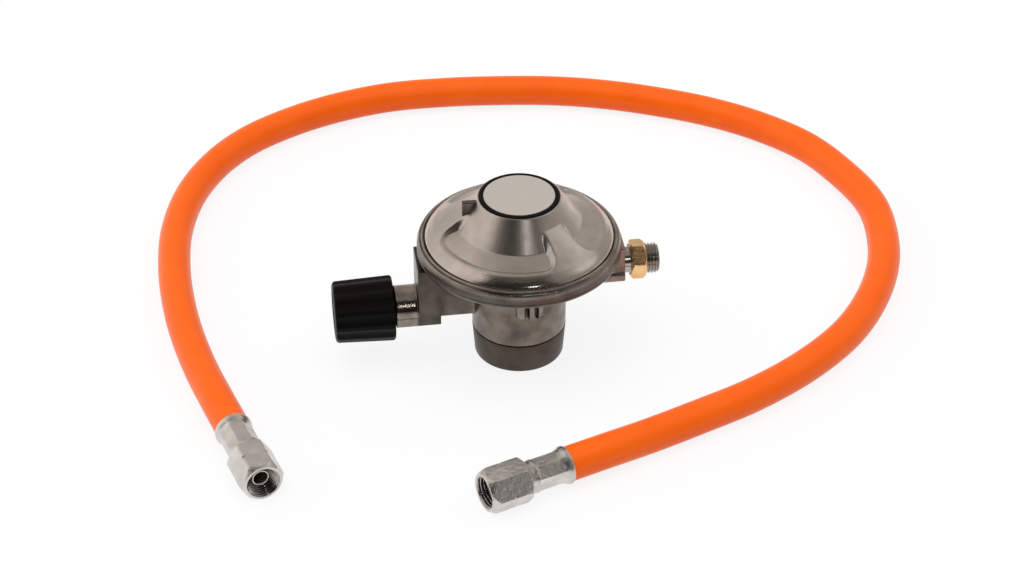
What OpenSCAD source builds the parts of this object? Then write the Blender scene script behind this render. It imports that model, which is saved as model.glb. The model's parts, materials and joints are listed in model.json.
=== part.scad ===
// Clip-on low-pressure gas regulator with its loose crimped hose.
// Frame: +Z up, origin on the inlet axis at the foot, knob towards -X, outlet towards +X.

/* [Regulator body] */
// Height of the lower edge of the dish rim above the foot
rim_z = 51.3; // [50.5:0.1:54]
// Height of the dish rim
rim_h = 7.7; // [7:0.1:9]
// Outer diameter of the dish rim
rim_d = 86.8; // [84:0.2:94]
// Outer diameter of the cup under the dish
cup_d = 40.4; // [39.6:0.2:44]
// Height of the knob and spindle axis above the foot
spindle_z = 26; // [25.7:0.1:27.5]
// Height of the outlet axis above the foot
outlet_z = 41.2; // [41:0.1:43]
// Wall of the dish floor
dish_wall = 2.6; // [2:0.1:3.4]

/* [Knob arm] */
// Distance from the inlet axis to the outer face of the arm block
block_reach = 44.2; // [43.6:0.1:48]
// Thickness of the arm block along the arm
block_t = 9.4; // [8:0.1:11]
// Width of the arm and its block
arm_w = 19.6; // [18:0.2:22]
// Depth of the arm below the spindle axis
arm_drop = 4; // [3.4:0.1:4.6]
// Length of the arm beyond the block
arm_len = 9.8; // [8:0.1:13]
// Width of the web between block and cup
web_w = 8; // [7:0.2:11]

/* [Inlet socket] */
// Bore of the socket that takes the cylinder valve
socket_d = 21.5; // [21:0.1:22]
// Outer diameter of the socket sleeve
sleeve_d = 29.7; // [29.4:0.1:31]
// Depth of the socket
socket_depth = 18; // [17.5:0.1:19]
// Length of the close-fitting part of the bore
socket_grip = 11.8; // [11:0.1:12]
// Diameter of the inlet spigot in the socket
spigot_d = 8.6; // [8:0.1:9.4]
// Length of the spigot inside the socket
spigot_len = 6; // [5.5:0.1:6.1]
// Diameter of each locking ball
ball_d = 5; // [4.8:0.05:5.1]
// Height of the ball centres above the foot
ball_z = 6; // [5.8:0.1:6.4]
// Depth by which a released ball stays behind the bore wall
ball_recess = 0.2; // [0.1:0.05:0.3]

/* [Locking collar] */
// Diameter of the collar at its top
collar_d = 40.4; // [39.6:0.2:42]
// Diameter of the collar at its foot
collar_foot_d = 38.7; // [38:0.1:40]
// Height of the collar
collar_h = 13.7; // [13.4:0.1:14.2]
// Gap from the foot plane to the underside of the collar
collar_lift = 0.3; // [0.2:0.05:0.5]
// Travel of the collar from released to locked
collar_travel = 5; // [4:0.25:5]
// Distance that each ball moves inward over the travel
ball_throw = 1; // [0.8:0.05:1]

/* [Knob] */
// Length of the knob
knob_len = 25.5; // [22:0.5:30]
// Diameter of the knob at its outer end
knob_outer_d = 26.4; // [25:0.2:28]
// Diameter of the knob at its inner end
knob_inner_d = 28.2; // [27:0.2:30]
// Number of grip flutes round the knob
knob_flutes = 12; // [8:1:16]
// Depth of each grip flute
flute_depth = 0.7; // [0.4:0.05:1]
// Diameter of the spindle where the knob drives it
spindle_d = 8; // [7:0.1:8.4]
// Diameter of the thin stretch of the spindle
spindle_thin_d = 4; // [3.6:0.1:4.4]
// Lift of the cam over the turn of the knob
cam_lift = 2.5; // [2:0.1:2.6]
// Turn of the knob from off to on, in degrees
knob_turn = 90; // [80:5:100]

/* [Pressure control] */
// Thickness of the diaphragm rubber
rubber_t = 0.8; // [0.6:0.1:1.2]
// Diameter of the diaphragm plate
plate_d = 44; // [40:0.5:46]
// Thickness of the diaphragm plate
plate_t = 1; // [0.8:0.1:1.4]
// Travel of the diaphragm stem
stem_travel = 1.5; // [1:0.1:1.6]
// Diameter of the diaphragm stem
stem_d = 3; // [2.6:0.1:3.4]
// Distance from the inlet axis to the jet
jet_y = 13; // [12.4:0.1:13.4]
// Distance from the inlet axis to the lever pin
lever_pin_y = 9; // [8.6:0.1:9.4]
// Diameter of the lever pin
lever_pin_d = 2; // [1.8:0.1:2.4]
// Bore of the jet
jet_bore = 1.5; // [1:0.1:1.8]
// Wire diameter of the regulating spring
main_wire_d = 1.5; // [1.2:0.1:1.8]
// Mean diameter of the regulating spring
main_coil_d = 17; // [15:0.5:19]
// Turns of the regulating spring
main_turns = 4.5; // [3.5:0.5:5]
// Diameter of the adjusting screw
screw_d = 25; // [24:0.2:26]
// Height of the adjusting screw
screw_h = 4.5; // [4:0.1:5]

/* [Cover] */
// Height of the cover from its flange to the rim of its neck
cover_h = 20.5; // [20:0.1:21.5]
// Outer diameter of the cap in the neck
cap_d = 34.1; // [33.4:0.1:35]
// Width of the neck rim round the cap
neck_rim_w = 0.45; // [0.35:0.05:0.8]
// Depth of the cap seat below the neck rim
cap_sink = 0.6; // [0.5:0.05:0.8]
// Height of the cap above the neck rim
cap_h = 0.5; // [0.4:0.05:0.8]
// Diameter of the label disc
label_d = 30; // [28:0.2:31]
// Thickness of the label disc
label_t = 0.5; // [0.4:0.05:0.6]

/* [Outlet] */
// Major diameter of the outlet thread
thread_d = 13.157; // [12.9:0.001:13.4]
// Minor diameter of the matching nut thread
thread_minor_d = 11.445; // [11.2:0.001:11.6]
// Distance from the inlet axis to the outer face of the outlet boss
boss_reach = 44.8; // [44:0.1:48]
// Length of the plain neck between boss and thread
outlet_neck_len = 3.4; // [2.5:0.1:5]
// Length of the outlet thread
outlet_thread_len = 11.8; // [11.4:0.1:16]
// Bore of the outlet
outlet_bore = 6; // [5:0.1:6.4]
// Width across flats of the outlet lock nut
lock_nut_af = 15; // [14.8:0.1:19]
// Thickness of the outlet lock nut
lock_nut_t = 6.4; // [5:0.1:7]

/* [Hose] */
// Outer diameter of the hose
hose_d = 14.6; // [14:0.1:14.8]
// Bore of the hose
hose_bore = 8; // [7.6:0.1:8.4]
// Outer diameter of the hose where the ferrule squeezes it
hose_crimp_d = 11.5; // [11.4:0.1:12]
// Diameter of the ferrule lip at the hose
ferrule_lip_d = 16; // [15.9:0.1:16.4]
// Width across flats of the crimped ferrule
ferrule_af = 13.2; // [13:0.1:14.2]
// Length of the ferrule
ferrule_len = 18.9; // [17:0.1:24]
// Bore of the hose nipple
nipple_bore = 5.2; // [4.4:0.1:5.6]
// Width across flats of the union nuts
nut_af = 17; // [16.6:0.1:19]
// Length of the union nuts
nut_len = 18.8; // [17:0.1:22]
// Depth of the thread in each union nut
nut_thread_len = 10.5; // [9:0.1:11]

/* [Clearances] */
// Radial clearance of pieces that turn or slide in a bore
run_fit = 0.06; // [0.04:0.01:0.08]
// Radial clearance of pieces that are pressed or screwed together
press_fit = 0.02; // [0.01:0.01:0.03]
// Gap between faces that pass each other
face_gap = 0.3; // [0.2:0.05:0.4]

/* [Hidden] */
$fn = 96;
EPS = 0.01;

zinc = [0.62, 0.58, 0.55];
bright_zinc = [0.72, 0.68, 0.65];
dark_metal = [0.33, 0.29, 0.26];
steel = [0.75, 0.74, 0.72];
brass = [0.80, 0.60, 0.30];
black_plastic = [0.06, 0.06, 0.06];
rubber_black = [0.10, 0.10, 0.10];
orange = [0.93, 0.38, 0.10];
label_grey = [0.75, 0.73, 0.70];

// Levels of the body, measured up from the foot
cup_z = collar_lift + collar_h + 0.1;
rim_top_z = rim_z + rim_h;
lip_t = 0.7;
flange_h = 0.45;
bead_t = 1.6;
seat_z = rim_top_z - lip_t - flange_h - bead_t - 0.05;
under_z = rim_z - 7.3;
floor_z = rim_z - 1.6 + dish_wall;
well_z = outlet_z - outlet_bore / 2 - 0.5;
well_r = cup_d / 2 - 2.2;
rim_r = rim_d / 2;
recess_r = rim_r - 2;
lip_r = recess_r - 0.8;
chamber_r = recess_r - 5.4;

// The cavity where the cam turns, above the inlet spigot
cavity_r = 7.5;
cavity_neck_r = 2;
flange_t = 2;
spigot_flange_r = 12.5;
cavity_z = socket_depth + flange_t;
cavity_top_z = spindle_z + 6.2;
passage_r = 1.25;
passage_z = cavity_top_z + passage_r;
plug_len = 3.2;
plug_r = 2;

// The knob arm and spindle along -X
block_x = -block_reach;
arm_end_x = block_x - arm_len;
spigot_step = 2.6;
spindle_bore_r = spindle_d / 2 + run_fit;
spindle_step_x = block_x + 8.2;
knob_in_x = arm_end_x - 0.4;
knob_out_x = knob_in_x - knob_len;
knob_socket_len = 17;
cam_r = 3;
cam_t = 3;
seal_x = block_x + 4.2;
seal_wire_d = 1.4;
seal_in_r = spindle_d / 2 - seal_wire_d + 0.02;
flat_depth = spindle_d / 2 - 1.2;
flute_r = 7;
clip_shaft_r = spindle_thin_d / 2 - 0.4;
clip_t = 0.6;
clip_x = -6.4;

// The plunger under the cam
plunger_top_z = spindle_z - cam_r - 0.3;
plunger_r = 1.4;
plunger_head_r = 2.9;
follower_r = 0.6;
plunger_head_t = 1.2;
spigot_tip_z = socket_depth - spigot_len;
spigot_bore_r = spigot_d / 2 - 1.1;
spigot_floor_t = 1.5;
plunger_tip_z = spigot_tip_z + 0.4;

// The locking collar and its balls
socket_r = socket_d / 2;
sleeve_r = sleeve_d / 2;
ball_r = ball_d / 2;
ball_centre_r = socket_r + ball_recess + ball_r;
ball_reach_r = ball_centre_r + ball_r;
ramp_slope = ball_throw / collar_travel;
ramp_gap = 0.12;
collar_bore_r = sleeve_r + run_fit;
ramp_top_z = ball_z + (ball_reach_r + ramp_gap - collar_bore_r) / ramp_slope;
ramp_foot_r = ball_reach_r + ramp_gap + 0.23;
ramp_foot_z = ball_z - 0.23 / ramp_slope;
clip_z = 0.6;
clip_h = 0.8;
clip_in_r = sleeve_r - 0.65;
ring_z = ramp_top_z + 1.1;
ring_wire_d = 1;
ball_angles = [30, 150, 270];

// The valve gear in the well
jet_shank = 2.2;
jet_shank_r = 2;
jet_hex_r = 2.9;
jet_h = 6;
jet_tip_h = 1;
jet_top_z = well_z + jet_h + jet_tip_h;
pad_clear = 0.28;
pad_gap = stem_travel * (jet_y - lever_pin_y) / lever_pin_y + pad_clear;
pad_t = 1.3;
pad_r = 2;
lever_t = 1.6;
lever_w = 6;
lever_z = jet_top_z + pad_gap + pad_t;
lever_pin_z = lever_z + lever_t / 2;
lever_eye_r = lever_pin_d / 2 + 1.1;
post_gap = lever_w + 2 * face_gap;
post_t = 3;
stem_play = 0.5;
stem_head_r = 2.8;
fork_slot = stem_d + 2 * 0.25;

// The diaphragm and its plate
flat_z = seat_z - bead_t;
plate_z = flat_z + rubber_t + 0.05;
washer_r = 8;
washer_t = 0.8;
bead_in_r = recess_r - 3.9;
bead_out_r = recess_r - 0.25;

// The cover, measured up from its flange
flange_z = seat_z + bead_t;
cover_r = lip_r - 0.4;
cover_top_z = flange_z + cover_h;
cap_seat_z = cover_top_z - cap_sink;
cap_seat_r = cap_d / 2 + press_fit;
cap_bore_r = label_d / 2 - 0.4;
cap_z = cover_top_z + cap_h;
cap_skirt = 1.9;
neck_r = cap_seat_r + neck_rim_w;
screw_r = screw_d / 2;
screw_sink = 3.7;
screw_z = cover_top_z - screw_sink - screw_h;
// Each pocket of the cover: start angle and sweep, in degrees
pockets = [[186, 104], [316, 92], [68, 80]];
vent_w = 2.6;
vent_l = 6;
vent_h = 10.5;
vent_hole_r = 0.5;
vent_x = -24.2;
vent_z = cover_top_z - 11.3;

// The outlet along +X
thread_r = thread_d / 2;
thread_minor_r = thread_minor_d / 2;
boss_w = 17;
boss_drop = 5.4;
ledge_h = 3.6;
thread_x = boss_reach + outlet_neck_len;
outlet_end_x = thread_x + outlet_thread_len;
lock_nut_x = thread_x - 0.4;
// Under the nut the thread stands at its core, and past the nut at its full diameter
free_thread_x = lock_nut_x + lock_nut_t + 0.1;

// The hose: ends of the tube with the headings that it leaves them on, then its route
rest_gap = 0.05;
nut_lie_z = nut_af / 2;
left_end = [-126.3, -50.8, nut_lie_z];
left_heading = 106;
right_end = [6.5, -92.5, nut_lie_z];
right_heading = 20;
end_run = 16;
hose_z = hose_d / 2 + rest_gap;
hose_sides = 12;
hose_route = [
    [-138, -7], [-143, 18], [-146, 43], [-147, 70], [-145, 98], [-138, 126],
    [-126, 150], [-110, 169], [-90, 183], [-66, 194], [-38, 201], [-10, 202],
    [18, 200], [45, 196], [70, 189], [94, 179], [118, 166], [140, 149],
    [159, 127], [171, 100], [177, 76], [176, 52], [170, 27], [158, 2],
    [141, -21], [118, -41], [92, -57], [65, -69], [43, -78]];
ferrule_lip_len = 3.1;
ferrule_neck_len = 2.6;
ferrule_neck_d = 13.2;
ferrule_wall_end = 1.5;
ferrule_in_r = hose_crimp_d / 2 + 0.05;
lip_depth = 3.1;
nut_gap = 0.15;
hose_tail = ferrule_len - ferrule_wall_end - 0.2;
tail_r = hose_bore / 2 * cos(180 / hose_sides) - 0.04;
shank_r = 4.5;
nut_back_t = 3;
nut_chamfer = 0.9;
// A notch over each corner, half way along, marks the left-hand thread
nut_notch_r = nut_af / 2 / cos(30) - 0.5;
nipple_head_r = 5.3;

// --- shared shapes ---

module along_x(x, z) {
    translate([x, 0, z]) rotate([0, 90, 0]) children();
}

module left_fitting() {
    translate(left_end) rotate([0, 0, left_heading]) rotate([0, 90, 0]) children();
}

module right_fitting() {
    translate(right_end) rotate([0, 0, right_heading]) rotate([0, 90, 0]) children();
}

// A ring of round wire about Z
module wire_ring(mean_r, wire_d) {
    rotate_extrude() translate([mean_r, 0]) circle(d = wire_d, $fn = 24);
}

// A hexagon bar along Z from 0 to h with both ends chamfered
module hex_bar(af, h, chamfer) {
    corner_r = af / 2 / cos(30);
    intersection() {
        cylinder(r = corner_r, h = h, $fn = 6);
        rotate_extrude()
            polygon([[0, 0], [corner_r - chamfer, 0], [corner_r + EPS, chamfer * 0.7],
                     [corner_r + EPS, h - chamfer * 0.7], [corner_r - chamfer, h], [0, h]]);
    }
}

function unit(v) = v / norm(v);
function path_dir(p, i) =
    i == 0 ? unit(p[1] - p[0])
    : i == len(p) - 1 ? unit(p[i] - p[i - 1])
    : unit(unit(p[i + 1] - p[i]) + unit(p[i] - p[i - 1]));
function ring_at(p, i, r, sides) =
    let (t = path_dir(p, i),
         side = unit(cross(t, [0, 0, 1])),
         up = cross(side, t))
    [for (k = [0:sides - 1])
        p[i] + r * (cos(90 + 360 * k / sides) * side + sin(90 + 360 * k / sides) * up)];
function band(a, b, n, out) =
    [for (k = [0:n - 1]) each out
        ? [[a + k, a + (k + 1) % n, b + k], [a + (k + 1) % n, b + (k + 1) % n, b + k]]
        : [[a + k, b + k, a + (k + 1) % n], [a + (k + 1) % n, b + k, b + (k + 1) % n]]];

// A solid rod of round wire along points p
module swept_rod(p, r, sides) {
    n = len(p);
    points = [for (i = [0:n - 1]) each ring_at(p, i, r, sides)];
    walls = [for (i = [0:n - 2]) each band(i * sides, (i + 1) * sides, sides, false)];
    first = [for (k = [1:sides - 2]) [0, k, k + 1]];
    end = (n - 1) * sides;
    last = [for (k = [1:sides - 2]) [end, end + k + 1, end + k]];
    polyhedron(points, concat(walls, first, last));
}

// A hollow tube along points p, with its outer radius given at each point
module swept_tube(p, outer, inner_r, sides) {
    n = len(p);
    points = concat([for (i = [0:n - 1]) each ring_at(p, i, outer[i], sides)],
                    [for (i = [0:n - 1]) each ring_at(p, i, inner_r, sides)]);
    bore = n * sides;
    outside = [for (i = [0:n - 2]) each band(i * sides, (i + 1) * sides, sides, false)];
    inside = [for (i = [0:n - 2])
        each band(bore + i * sides, bore + (i + 1) * sides, sides, true)];
    first = band(0, bore, sides, true);
    last = band((n - 1) * sides, bore + (n - 1) * sides, sides, false);
    polyhedron(points, concat(outside, inside, first, last));
}

// Points of a helix of the given pitch radius from z0 to z1
function helix(mean_r, z0, z1, turns, steps = 12) =
    let (n = round(turns * steps))
    [for (i = [0:n])
        [mean_r * cos(360 * turns * i / n), mean_r * sin(360 * turns * i / n),
         z0 + (z1 - z0) * i / n]];

// --- regulator body ---

module dish_solid() {
    cup_r = cup_d / 2;
    rotate_extrude() polygon([
        [0, cup_z], [cup_r - 0.4, cup_z], [cup_r, cup_z + 0.4], [cup_r, under_z],
        [cup_r + 1.2, under_z + 1.7], [cup_r + 4, under_z + 2.6],
        [rim_r - 6, rim_z - 1.6], [rim_r - 1.2, rim_z], [rim_r, rim_z + 1.2],
        [rim_r, rim_top_z - 1.8], [rim_r - 0.5, rim_top_z - 0.6],
        [recess_r + 1.2, rim_top_z], [0, rim_top_z]]);
}

module dish_hollow() {
    rotate_extrude() polygon([
        [0, well_z], [well_r, well_z], [well_r, under_z + 1.6 + dish_wall],
        [cup_d / 2 + 4, under_z + 2.6 + dish_wall], [chamber_r, floor_z], [chamber_r, seat_z],
        [recess_r, seat_z], [recess_r, rim_top_z - lip_t], [lip_r, rim_top_z - lip_t],
        [lip_r, rim_top_z + 1], [0, rim_top_z + 1]]);
}

module inlet_hollow() {
    sleeve_hole_r = sleeve_r + press_fit;
    flange_hole_r = spigot_flange_r + press_fit;
    neck_top_z = cavity_top_z + 2 * passage_r + 0.6;
    rotate_extrude() polygon([
        [0, cup_z - 1], [sleeve_hole_r, cup_z - 1], [sleeve_hole_r, socket_depth],
        [flange_hole_r, socket_depth], [flange_hole_r, cavity_z], [cavity_r, cavity_z],
        [cavity_r, cavity_top_z], [cavity_neck_r, cavity_top_z], [cavity_neck_r, neck_top_z],
        [0, neck_top_z]]);
}

module knob_arm() {
    bottom_z = spindle_z - arm_drop;
    along_x(arm_end_x, spindle_z) {
        intersection() {
            cylinder(d = arm_w - 0.6, h = arm_len + 1);
            translate([-arm_w, -arm_w / 2, 0]) cube([arm_w, arm_w, arm_len + 1]);
        }
        cylinder(d = spindle_d + 6, h = arm_len + 1);
        translate([0, 0, -spigot_step]) cylinder(d = spindle_d + 8, h = spigot_step + 1);
    }
    translate([arm_end_x, -arm_w / 2, bottom_z]) cube([arm_len + 1, arm_w, arm_drop]);
    translate([block_x, -arm_w / 2, bottom_z]) cube([block_t, arm_w, rim_z - 1 - bottom_z]);
    translate([block_x, -web_w / 2, bottom_z])
        cube([block_reach - well_r, web_w, under_z + 2.5 - bottom_z]);
}

module outlet_boss() {
    bottom_z = outlet_z - boss_drop;
    translate([well_r, -boss_w / 2, bottom_z]) cube([boss_reach - well_r, boss_w, ledge_h]);
    translate([well_r, -boss_w / 2 + 1.4, bottom_z])
        cube([boss_reach - well_r, boss_w - 2.8, rim_z + 0.4 - bottom_z]);
    along_x(boss_reach - 1, outlet_z)
        cylinder(r = thread_minor_r - run_fit, h = free_thread_x - boss_reach + 2);
    along_x(free_thread_x, outlet_z) cylinder(r = thread_r, h = outlet_end_x - 1 - free_thread_x);
    along_x(outlet_end_x - 1, outlet_z) cylinder(r1 = thread_r, r2 = thread_r - 1, h = 1);
}

// A half-round rib on the front of the cup with two upright slots
module cup_rib() {
    rotate([0, 0, -84.5]) difference() {
        translate([cup_d / 2 - 3.7, 0, 27.5]) cylinder(d = 12.4, h = under_z + 1 - 27.5);
        for (side = [-1, 1])
            translate([cup_d / 2 + 1.1, side * 2.4 - 0.8, 27]) cube([3, 1.6, under_z - 26]);
    }
}

module lever_posts() {
    for (side = [-1, 1])
        translate([side * (post_gap + post_t) / 2 - post_t / 2, lever_pin_y - 2.4, well_z - 1])
            cube([post_t, 4.8, lever_pin_z + 2.2 - well_z + 1]);
}

module body_bores() {
    translate([0, 0, passage_z]) rotate([-90, 0, 0]) cylinder(r = passage_r, h = cup_d / 2);
    translate([0, cup_d / 2 - plug_len, passage_z])
        rotate([-90, 0, 0]) cylinder(r = plug_r + press_fit, h = plug_len + 1);
    translate([0, jet_y, passage_z]) cylinder(r = passage_r - 0.25, h = well_z - passage_z + 1);
    translate([0, jet_y, well_z - jet_shank])
        cylinder(r = jet_shank_r + press_fit, h = jet_shank + 1);
    along_x(arm_end_x - spigot_step - 1, spindle_z)
        cylinder(r = spindle_bore_r, h = spindle_step_x - arm_end_x + spigot_step + 1);
    along_x(spindle_step_x - 1, spindle_z)
        cylinder(r = spindle_thin_d / 2 + run_fit, h = -spindle_step_x - cavity_r + 2);
    along_x(well_r - 1.5, outlet_z) cylinder(d = outlet_bore, h = outlet_end_x - well_r + 2);
    translate([-post_gap, lever_pin_y, lever_pin_z])
        rotate([0, 90, 0]) cylinder(r = lever_pin_d / 2 + press_fit, h = 2 * post_gap);
}

module body_casting() color(zinc) difference() {
    union() {
        difference() {
            union() {
                dish_solid();
                knob_arm();
                outlet_boss();
                cup_rib();
            }
            dish_hollow();
            inlet_hollow();
        }
        lever_posts();
    }
    body_bores();
}

module passage_plug() color(steel)
    translate([0, cup_d / 2 - plug_len, passage_z])
        rotate([-90, 0, 0]) cylinder(r = plug_r, h = plug_len - 0.2);

module socket_sleeve() color(steel) difference() {
    rotate_extrude() polygon([
        [socket_r, 0], [sleeve_r - 0.3, 0], [sleeve_r, 0.3], [sleeve_r, clip_z - 0.05],
        [clip_in_r, clip_z - 0.05], [clip_in_r, clip_z + clip_h + 0.05],
        [sleeve_r, clip_z + clip_h + 0.05], [sleeve_r, ring_z - 0.6],
        [sleeve_r - ring_wire_d, ring_z - 0.6], [sleeve_r - ring_wire_d, ring_z + 0.6],
        [sleeve_r, ring_z + 0.6], [sleeve_r, socket_depth], [socket_r + 0.4, socket_depth],
        [socket_r + 0.4, socket_grip + 0.4], [socket_r, socket_grip]]);
    for (a = ball_angles) rotate([0, 0, a]) {
        along_x(socket_r + 0.55, ball_z) cylinder(r = ball_r + run_fit, h = sleeve_r);
        along_x(socket_r - 1, ball_z) cylinder(r = ball_r - 0.15, h = sleeve_r);
    }
}

module collar_clip() color(steel) difference() {
    translate([0, 0, clip_z]) cylinder(r = ball_reach_r - 0.2, h = clip_h);
    translate([0, 0, clip_z - 1]) cylinder(r = clip_in_r + press_fit, h = clip_h + 2);
    translate([0, -2, clip_z - 1]) cube([sleeve_d, 4, clip_h + 2]);
}

module collar_ring() color(rubber_black)
    translate([0, 0, ring_z])
        wire_ring(collar_bore_r - 0.02 - ring_wire_d / 2, ring_wire_d);

module locking_collar() color(dark_metal) {
    foot_r = collar_foot_d / 2;
    top_r = collar_d / 2;
    top_z = collar_lift + collar_h;
    rotate_extrude() polygon([
        [ramp_foot_r, collar_lift], [foot_r - 1.9, collar_lift],
        for (a = [-75:15:0]) [foot_r - 2 + 2 * cos(a), collar_lift + 2 + 2 * sin(a)],
        [top_r, top_z - 0.4], [top_r - 0.4, top_z], [collar_bore_r, top_z],
        [collar_bore_r, ramp_top_z], [ramp_foot_r, ramp_foot_z]]);
}

module locking_ball(i) color(steel)
    rotate([0, 0, ball_angles[i]]) translate([ball_centre_r, 0, ball_z]) sphere(r = ball_r);

module inlet_spigot() color(brass)
    rotate_extrude() polygon([
        [plunger_r + 0.3, spigot_tip_z], [spigot_d / 2 - 0.6, spigot_tip_z],
        [spigot_d / 2, spigot_tip_z + 0.6], [spigot_d / 2, socket_depth],
        [spigot_flange_r, socket_depth], [spigot_flange_r, cavity_z],
        [spigot_bore_r, cavity_z], [spigot_bore_r, spigot_tip_z + spigot_floor_t],
        [plunger_r + 0.3, spigot_tip_z + spigot_floor_t]]);

module plunger() color(brass) {
    translate([0, 0, plunger_tip_z]) cylinder(r = plunger_r, h = plunger_top_z - plunger_tip_z - 1);
    translate([0, 0, plunger_top_z - plunger_head_t])
        cylinder(r1 = plunger_head_r, r2 = follower_r, h = plunger_head_t);
    translate([0, 0, plunger_top_z - plunger_head_t - 0.6]) cylinder(r = plunger_head_r, h = 0.6);
}

module plunger_spring() color(steel) {
    foot_z = spigot_tip_z + spigot_floor_t;
    head_z = plunger_top_z - plunger_head_t - 0.6;
    swept_rod(helix(2.35, foot_z + 0.4, head_z - 0.4, 5), 0.3, 6);
}

// --- knob and spindle ---

module knob() color(black_plastic) difference() {
    outer_r = knob_outer_d / 2;
    inner_r = knob_inner_d / 2;
    along_x(knob_out_x, spindle_z) rotate_extrude() polygon([
        [0, 0], [outer_r - 1.6, 0],
        for (a = [-75:15:0]) [outer_r - 1.6 + 1.6 * cos(a), 1.6 + 1.6 * sin(a)],
        [inner_r, knob_len - 1], [inner_r - 0.8, knob_len],
        [spindle_d / 2 + 4 + 0.4, knob_len], [spindle_d / 2 + 4 + 0.4, knob_len - spigot_step - 0.8],
        [0, knob_len - spigot_step - 0.8]]);
    along_x(knob_in_x - knob_socket_len - 0.4, spindle_z) intersection() {
        cylinder(r = spindle_d / 2 + press_fit, h = knob_socket_len + 1);
        translate([-flat_depth - press_fit, -spindle_d, 0])
            cube([spindle_d * 2, spindle_d * 2, knob_socket_len + 1]);
    }
    for (i = [0:knob_flutes - 1])
        along_x(knob_out_x - 1, spindle_z) rotate([0, 0, (i + 0.5) * 360 / knob_flutes])
            translate([outer_r - flute_depth + flute_r, 0, 0])
                rotate([0, atan((inner_r - outer_r) / knob_len), 0])
                    translate([0, 0, -1]) cylinder(r = flute_r, h = knob_len + 4);
}

module knob_spindle() color(steel) difference() {
    union() {
        along_x(knob_in_x - knob_socket_len, spindle_z)
            cylinder(d = spindle_d, h = spindle_step_x - 0.3 - knob_in_x + knob_socket_len);
        along_x(spindle_step_x - 1, spindle_z)
            cylinder(d = spindle_thin_d, h = cam_t / 2 + 1 - spindle_step_x);
        along_x(-cam_t / 2, spindle_z) linear_extrude(cam_t)
            polygon(concat([for (a = [0:5:100]) (cam_r + cam_lift * a / knob_turn) * [cos(a), -sin(a)]],
                           [for (a = [105:5:355]) cam_r * [cos(a), -sin(a)]]));
    }
    along_x(seal_x - 0.9, spindle_z) difference() {
        cylinder(d = spindle_d + 2, h = 1.8);
        cylinder(r = seal_in_r - press_fit, h = 1.8);
    }
    along_x(clip_x - 0.05, spindle_z) difference() {
        cylinder(d = spindle_thin_d + 2, h = clip_t + 0.1);
        cylinder(r = clip_shaft_r, h = clip_t + 0.1);
    }
    along_x(knob_in_x - knob_socket_len - 1, spindle_z)
        translate([-spindle_d - flat_depth, -spindle_d, 0])
            cube([spindle_d, spindle_d * 2, knob_socket_len - spigot_step + 0.6]);
}

module spindle_seal() color(rubber_black)
    along_x(seal_x, spindle_z) wire_ring(seal_in_r + seal_wire_d / 2, seal_wire_d);

module spindle_clip() color(steel)
    along_x(clip_x, spindle_z) difference() {
        cylinder(r = 3.4, h = clip_t);
        translate([0, 0, -1]) cylinder(r = clip_shaft_r + press_fit, h = clip_t + 2);
        translate([0, -1.2, -1]) cube([5, 2.4, clip_t + 2]);
    }

// --- valve gear ---

module jet() color(brass) translate([0, jet_y, 0]) difference() {
    union() {
        translate([0, 0, well_z - jet_shank]) cylinder(r = jet_shank_r, h = jet_shank + 1);
        translate([0, 0, well_z]) cylinder(r = jet_hex_r, h = jet_h - 2, $fn = 6);
        translate([0, 0, well_z + jet_h - 2]) cylinder(r1 = jet_hex_r - 0.6, r2 = 1.4, h = 2);
        translate([0, 0, well_z + jet_h - EPS]) cylinder(r = 1.4, h = jet_tip_h + EPS);
    }
    translate([0, 0, well_z - jet_shank - 1]) cylinder(d = jet_bore, h = jet_h + jet_shank + 3);
}

module lever_pin() color(steel)
    translate([-post_gap / 2 - post_t, lever_pin_y, lever_pin_z])
        rotate([0, 90, 0]) cylinder(d = lever_pin_d, h = post_gap + 2 * post_t);

module lever() color(steel) difference() {
    union() {
        translate([-lever_w / 2, -2.5, lever_z]) cube([lever_w, jet_y + 2.4 + 2.5, lever_t]);
        translate([-lever_w / 2, lever_pin_y, lever_pin_z])
            rotate([0, 90, 0]) cylinder(r = lever_eye_r, h = lever_w);
    }
    translate([-lever_w, lever_pin_y, lever_pin_z])
        rotate([0, 90, 0]) cylinder(r = lever_pin_d / 2 + run_fit, h = 2 * lever_w);
    translate([-fork_slot / 2, -3, lever_z - 1]) cube([fork_slot, stem_d / 2 + 3.5, lever_t + 2]);
}

module seat_pad() color(rubber_black)
    translate([0, jet_y, lever_z - pad_t]) cylinder(r = pad_r, h = pad_t);

module stem() color(steel) {
    translate([0, 0, lever_z - stem_play - 1.2]) cylinder(r = stem_head_r, h = 1.2);
    translate([0, 0, lever_z - stem_play - 1])
        cylinder(d = stem_d, h = plate_z + plate_t + 0.6 - lever_z + stem_play + 1);
    translate([0, 0, lever_z + lever_t + stem_play]) cylinder(r = stem_head_r, h = 1);
    translate([0, 0, plate_z + plate_t]) cylinder(r = stem_head_r, h = 0.7);
}

module diaphragm_plate() color(bright_zinc) difference() {
    translate([0, 0, plate_z]) cylinder(d = plate_d, h = plate_t);
    translate([0, 0, plate_z - 1]) cylinder(d = stem_d + 2 * press_fit, h = plate_t + 2);
}

module backing_washer() color(steel) difference() {
    translate([0, 0, flat_z - 0.05 - washer_t]) cylinder(r = washer_r, h = washer_t);
    translate([0, 0, flat_z - washer_t - 1]) cylinder(d = stem_d + 2 * press_fit, h = washer_t + 2);
}

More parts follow.
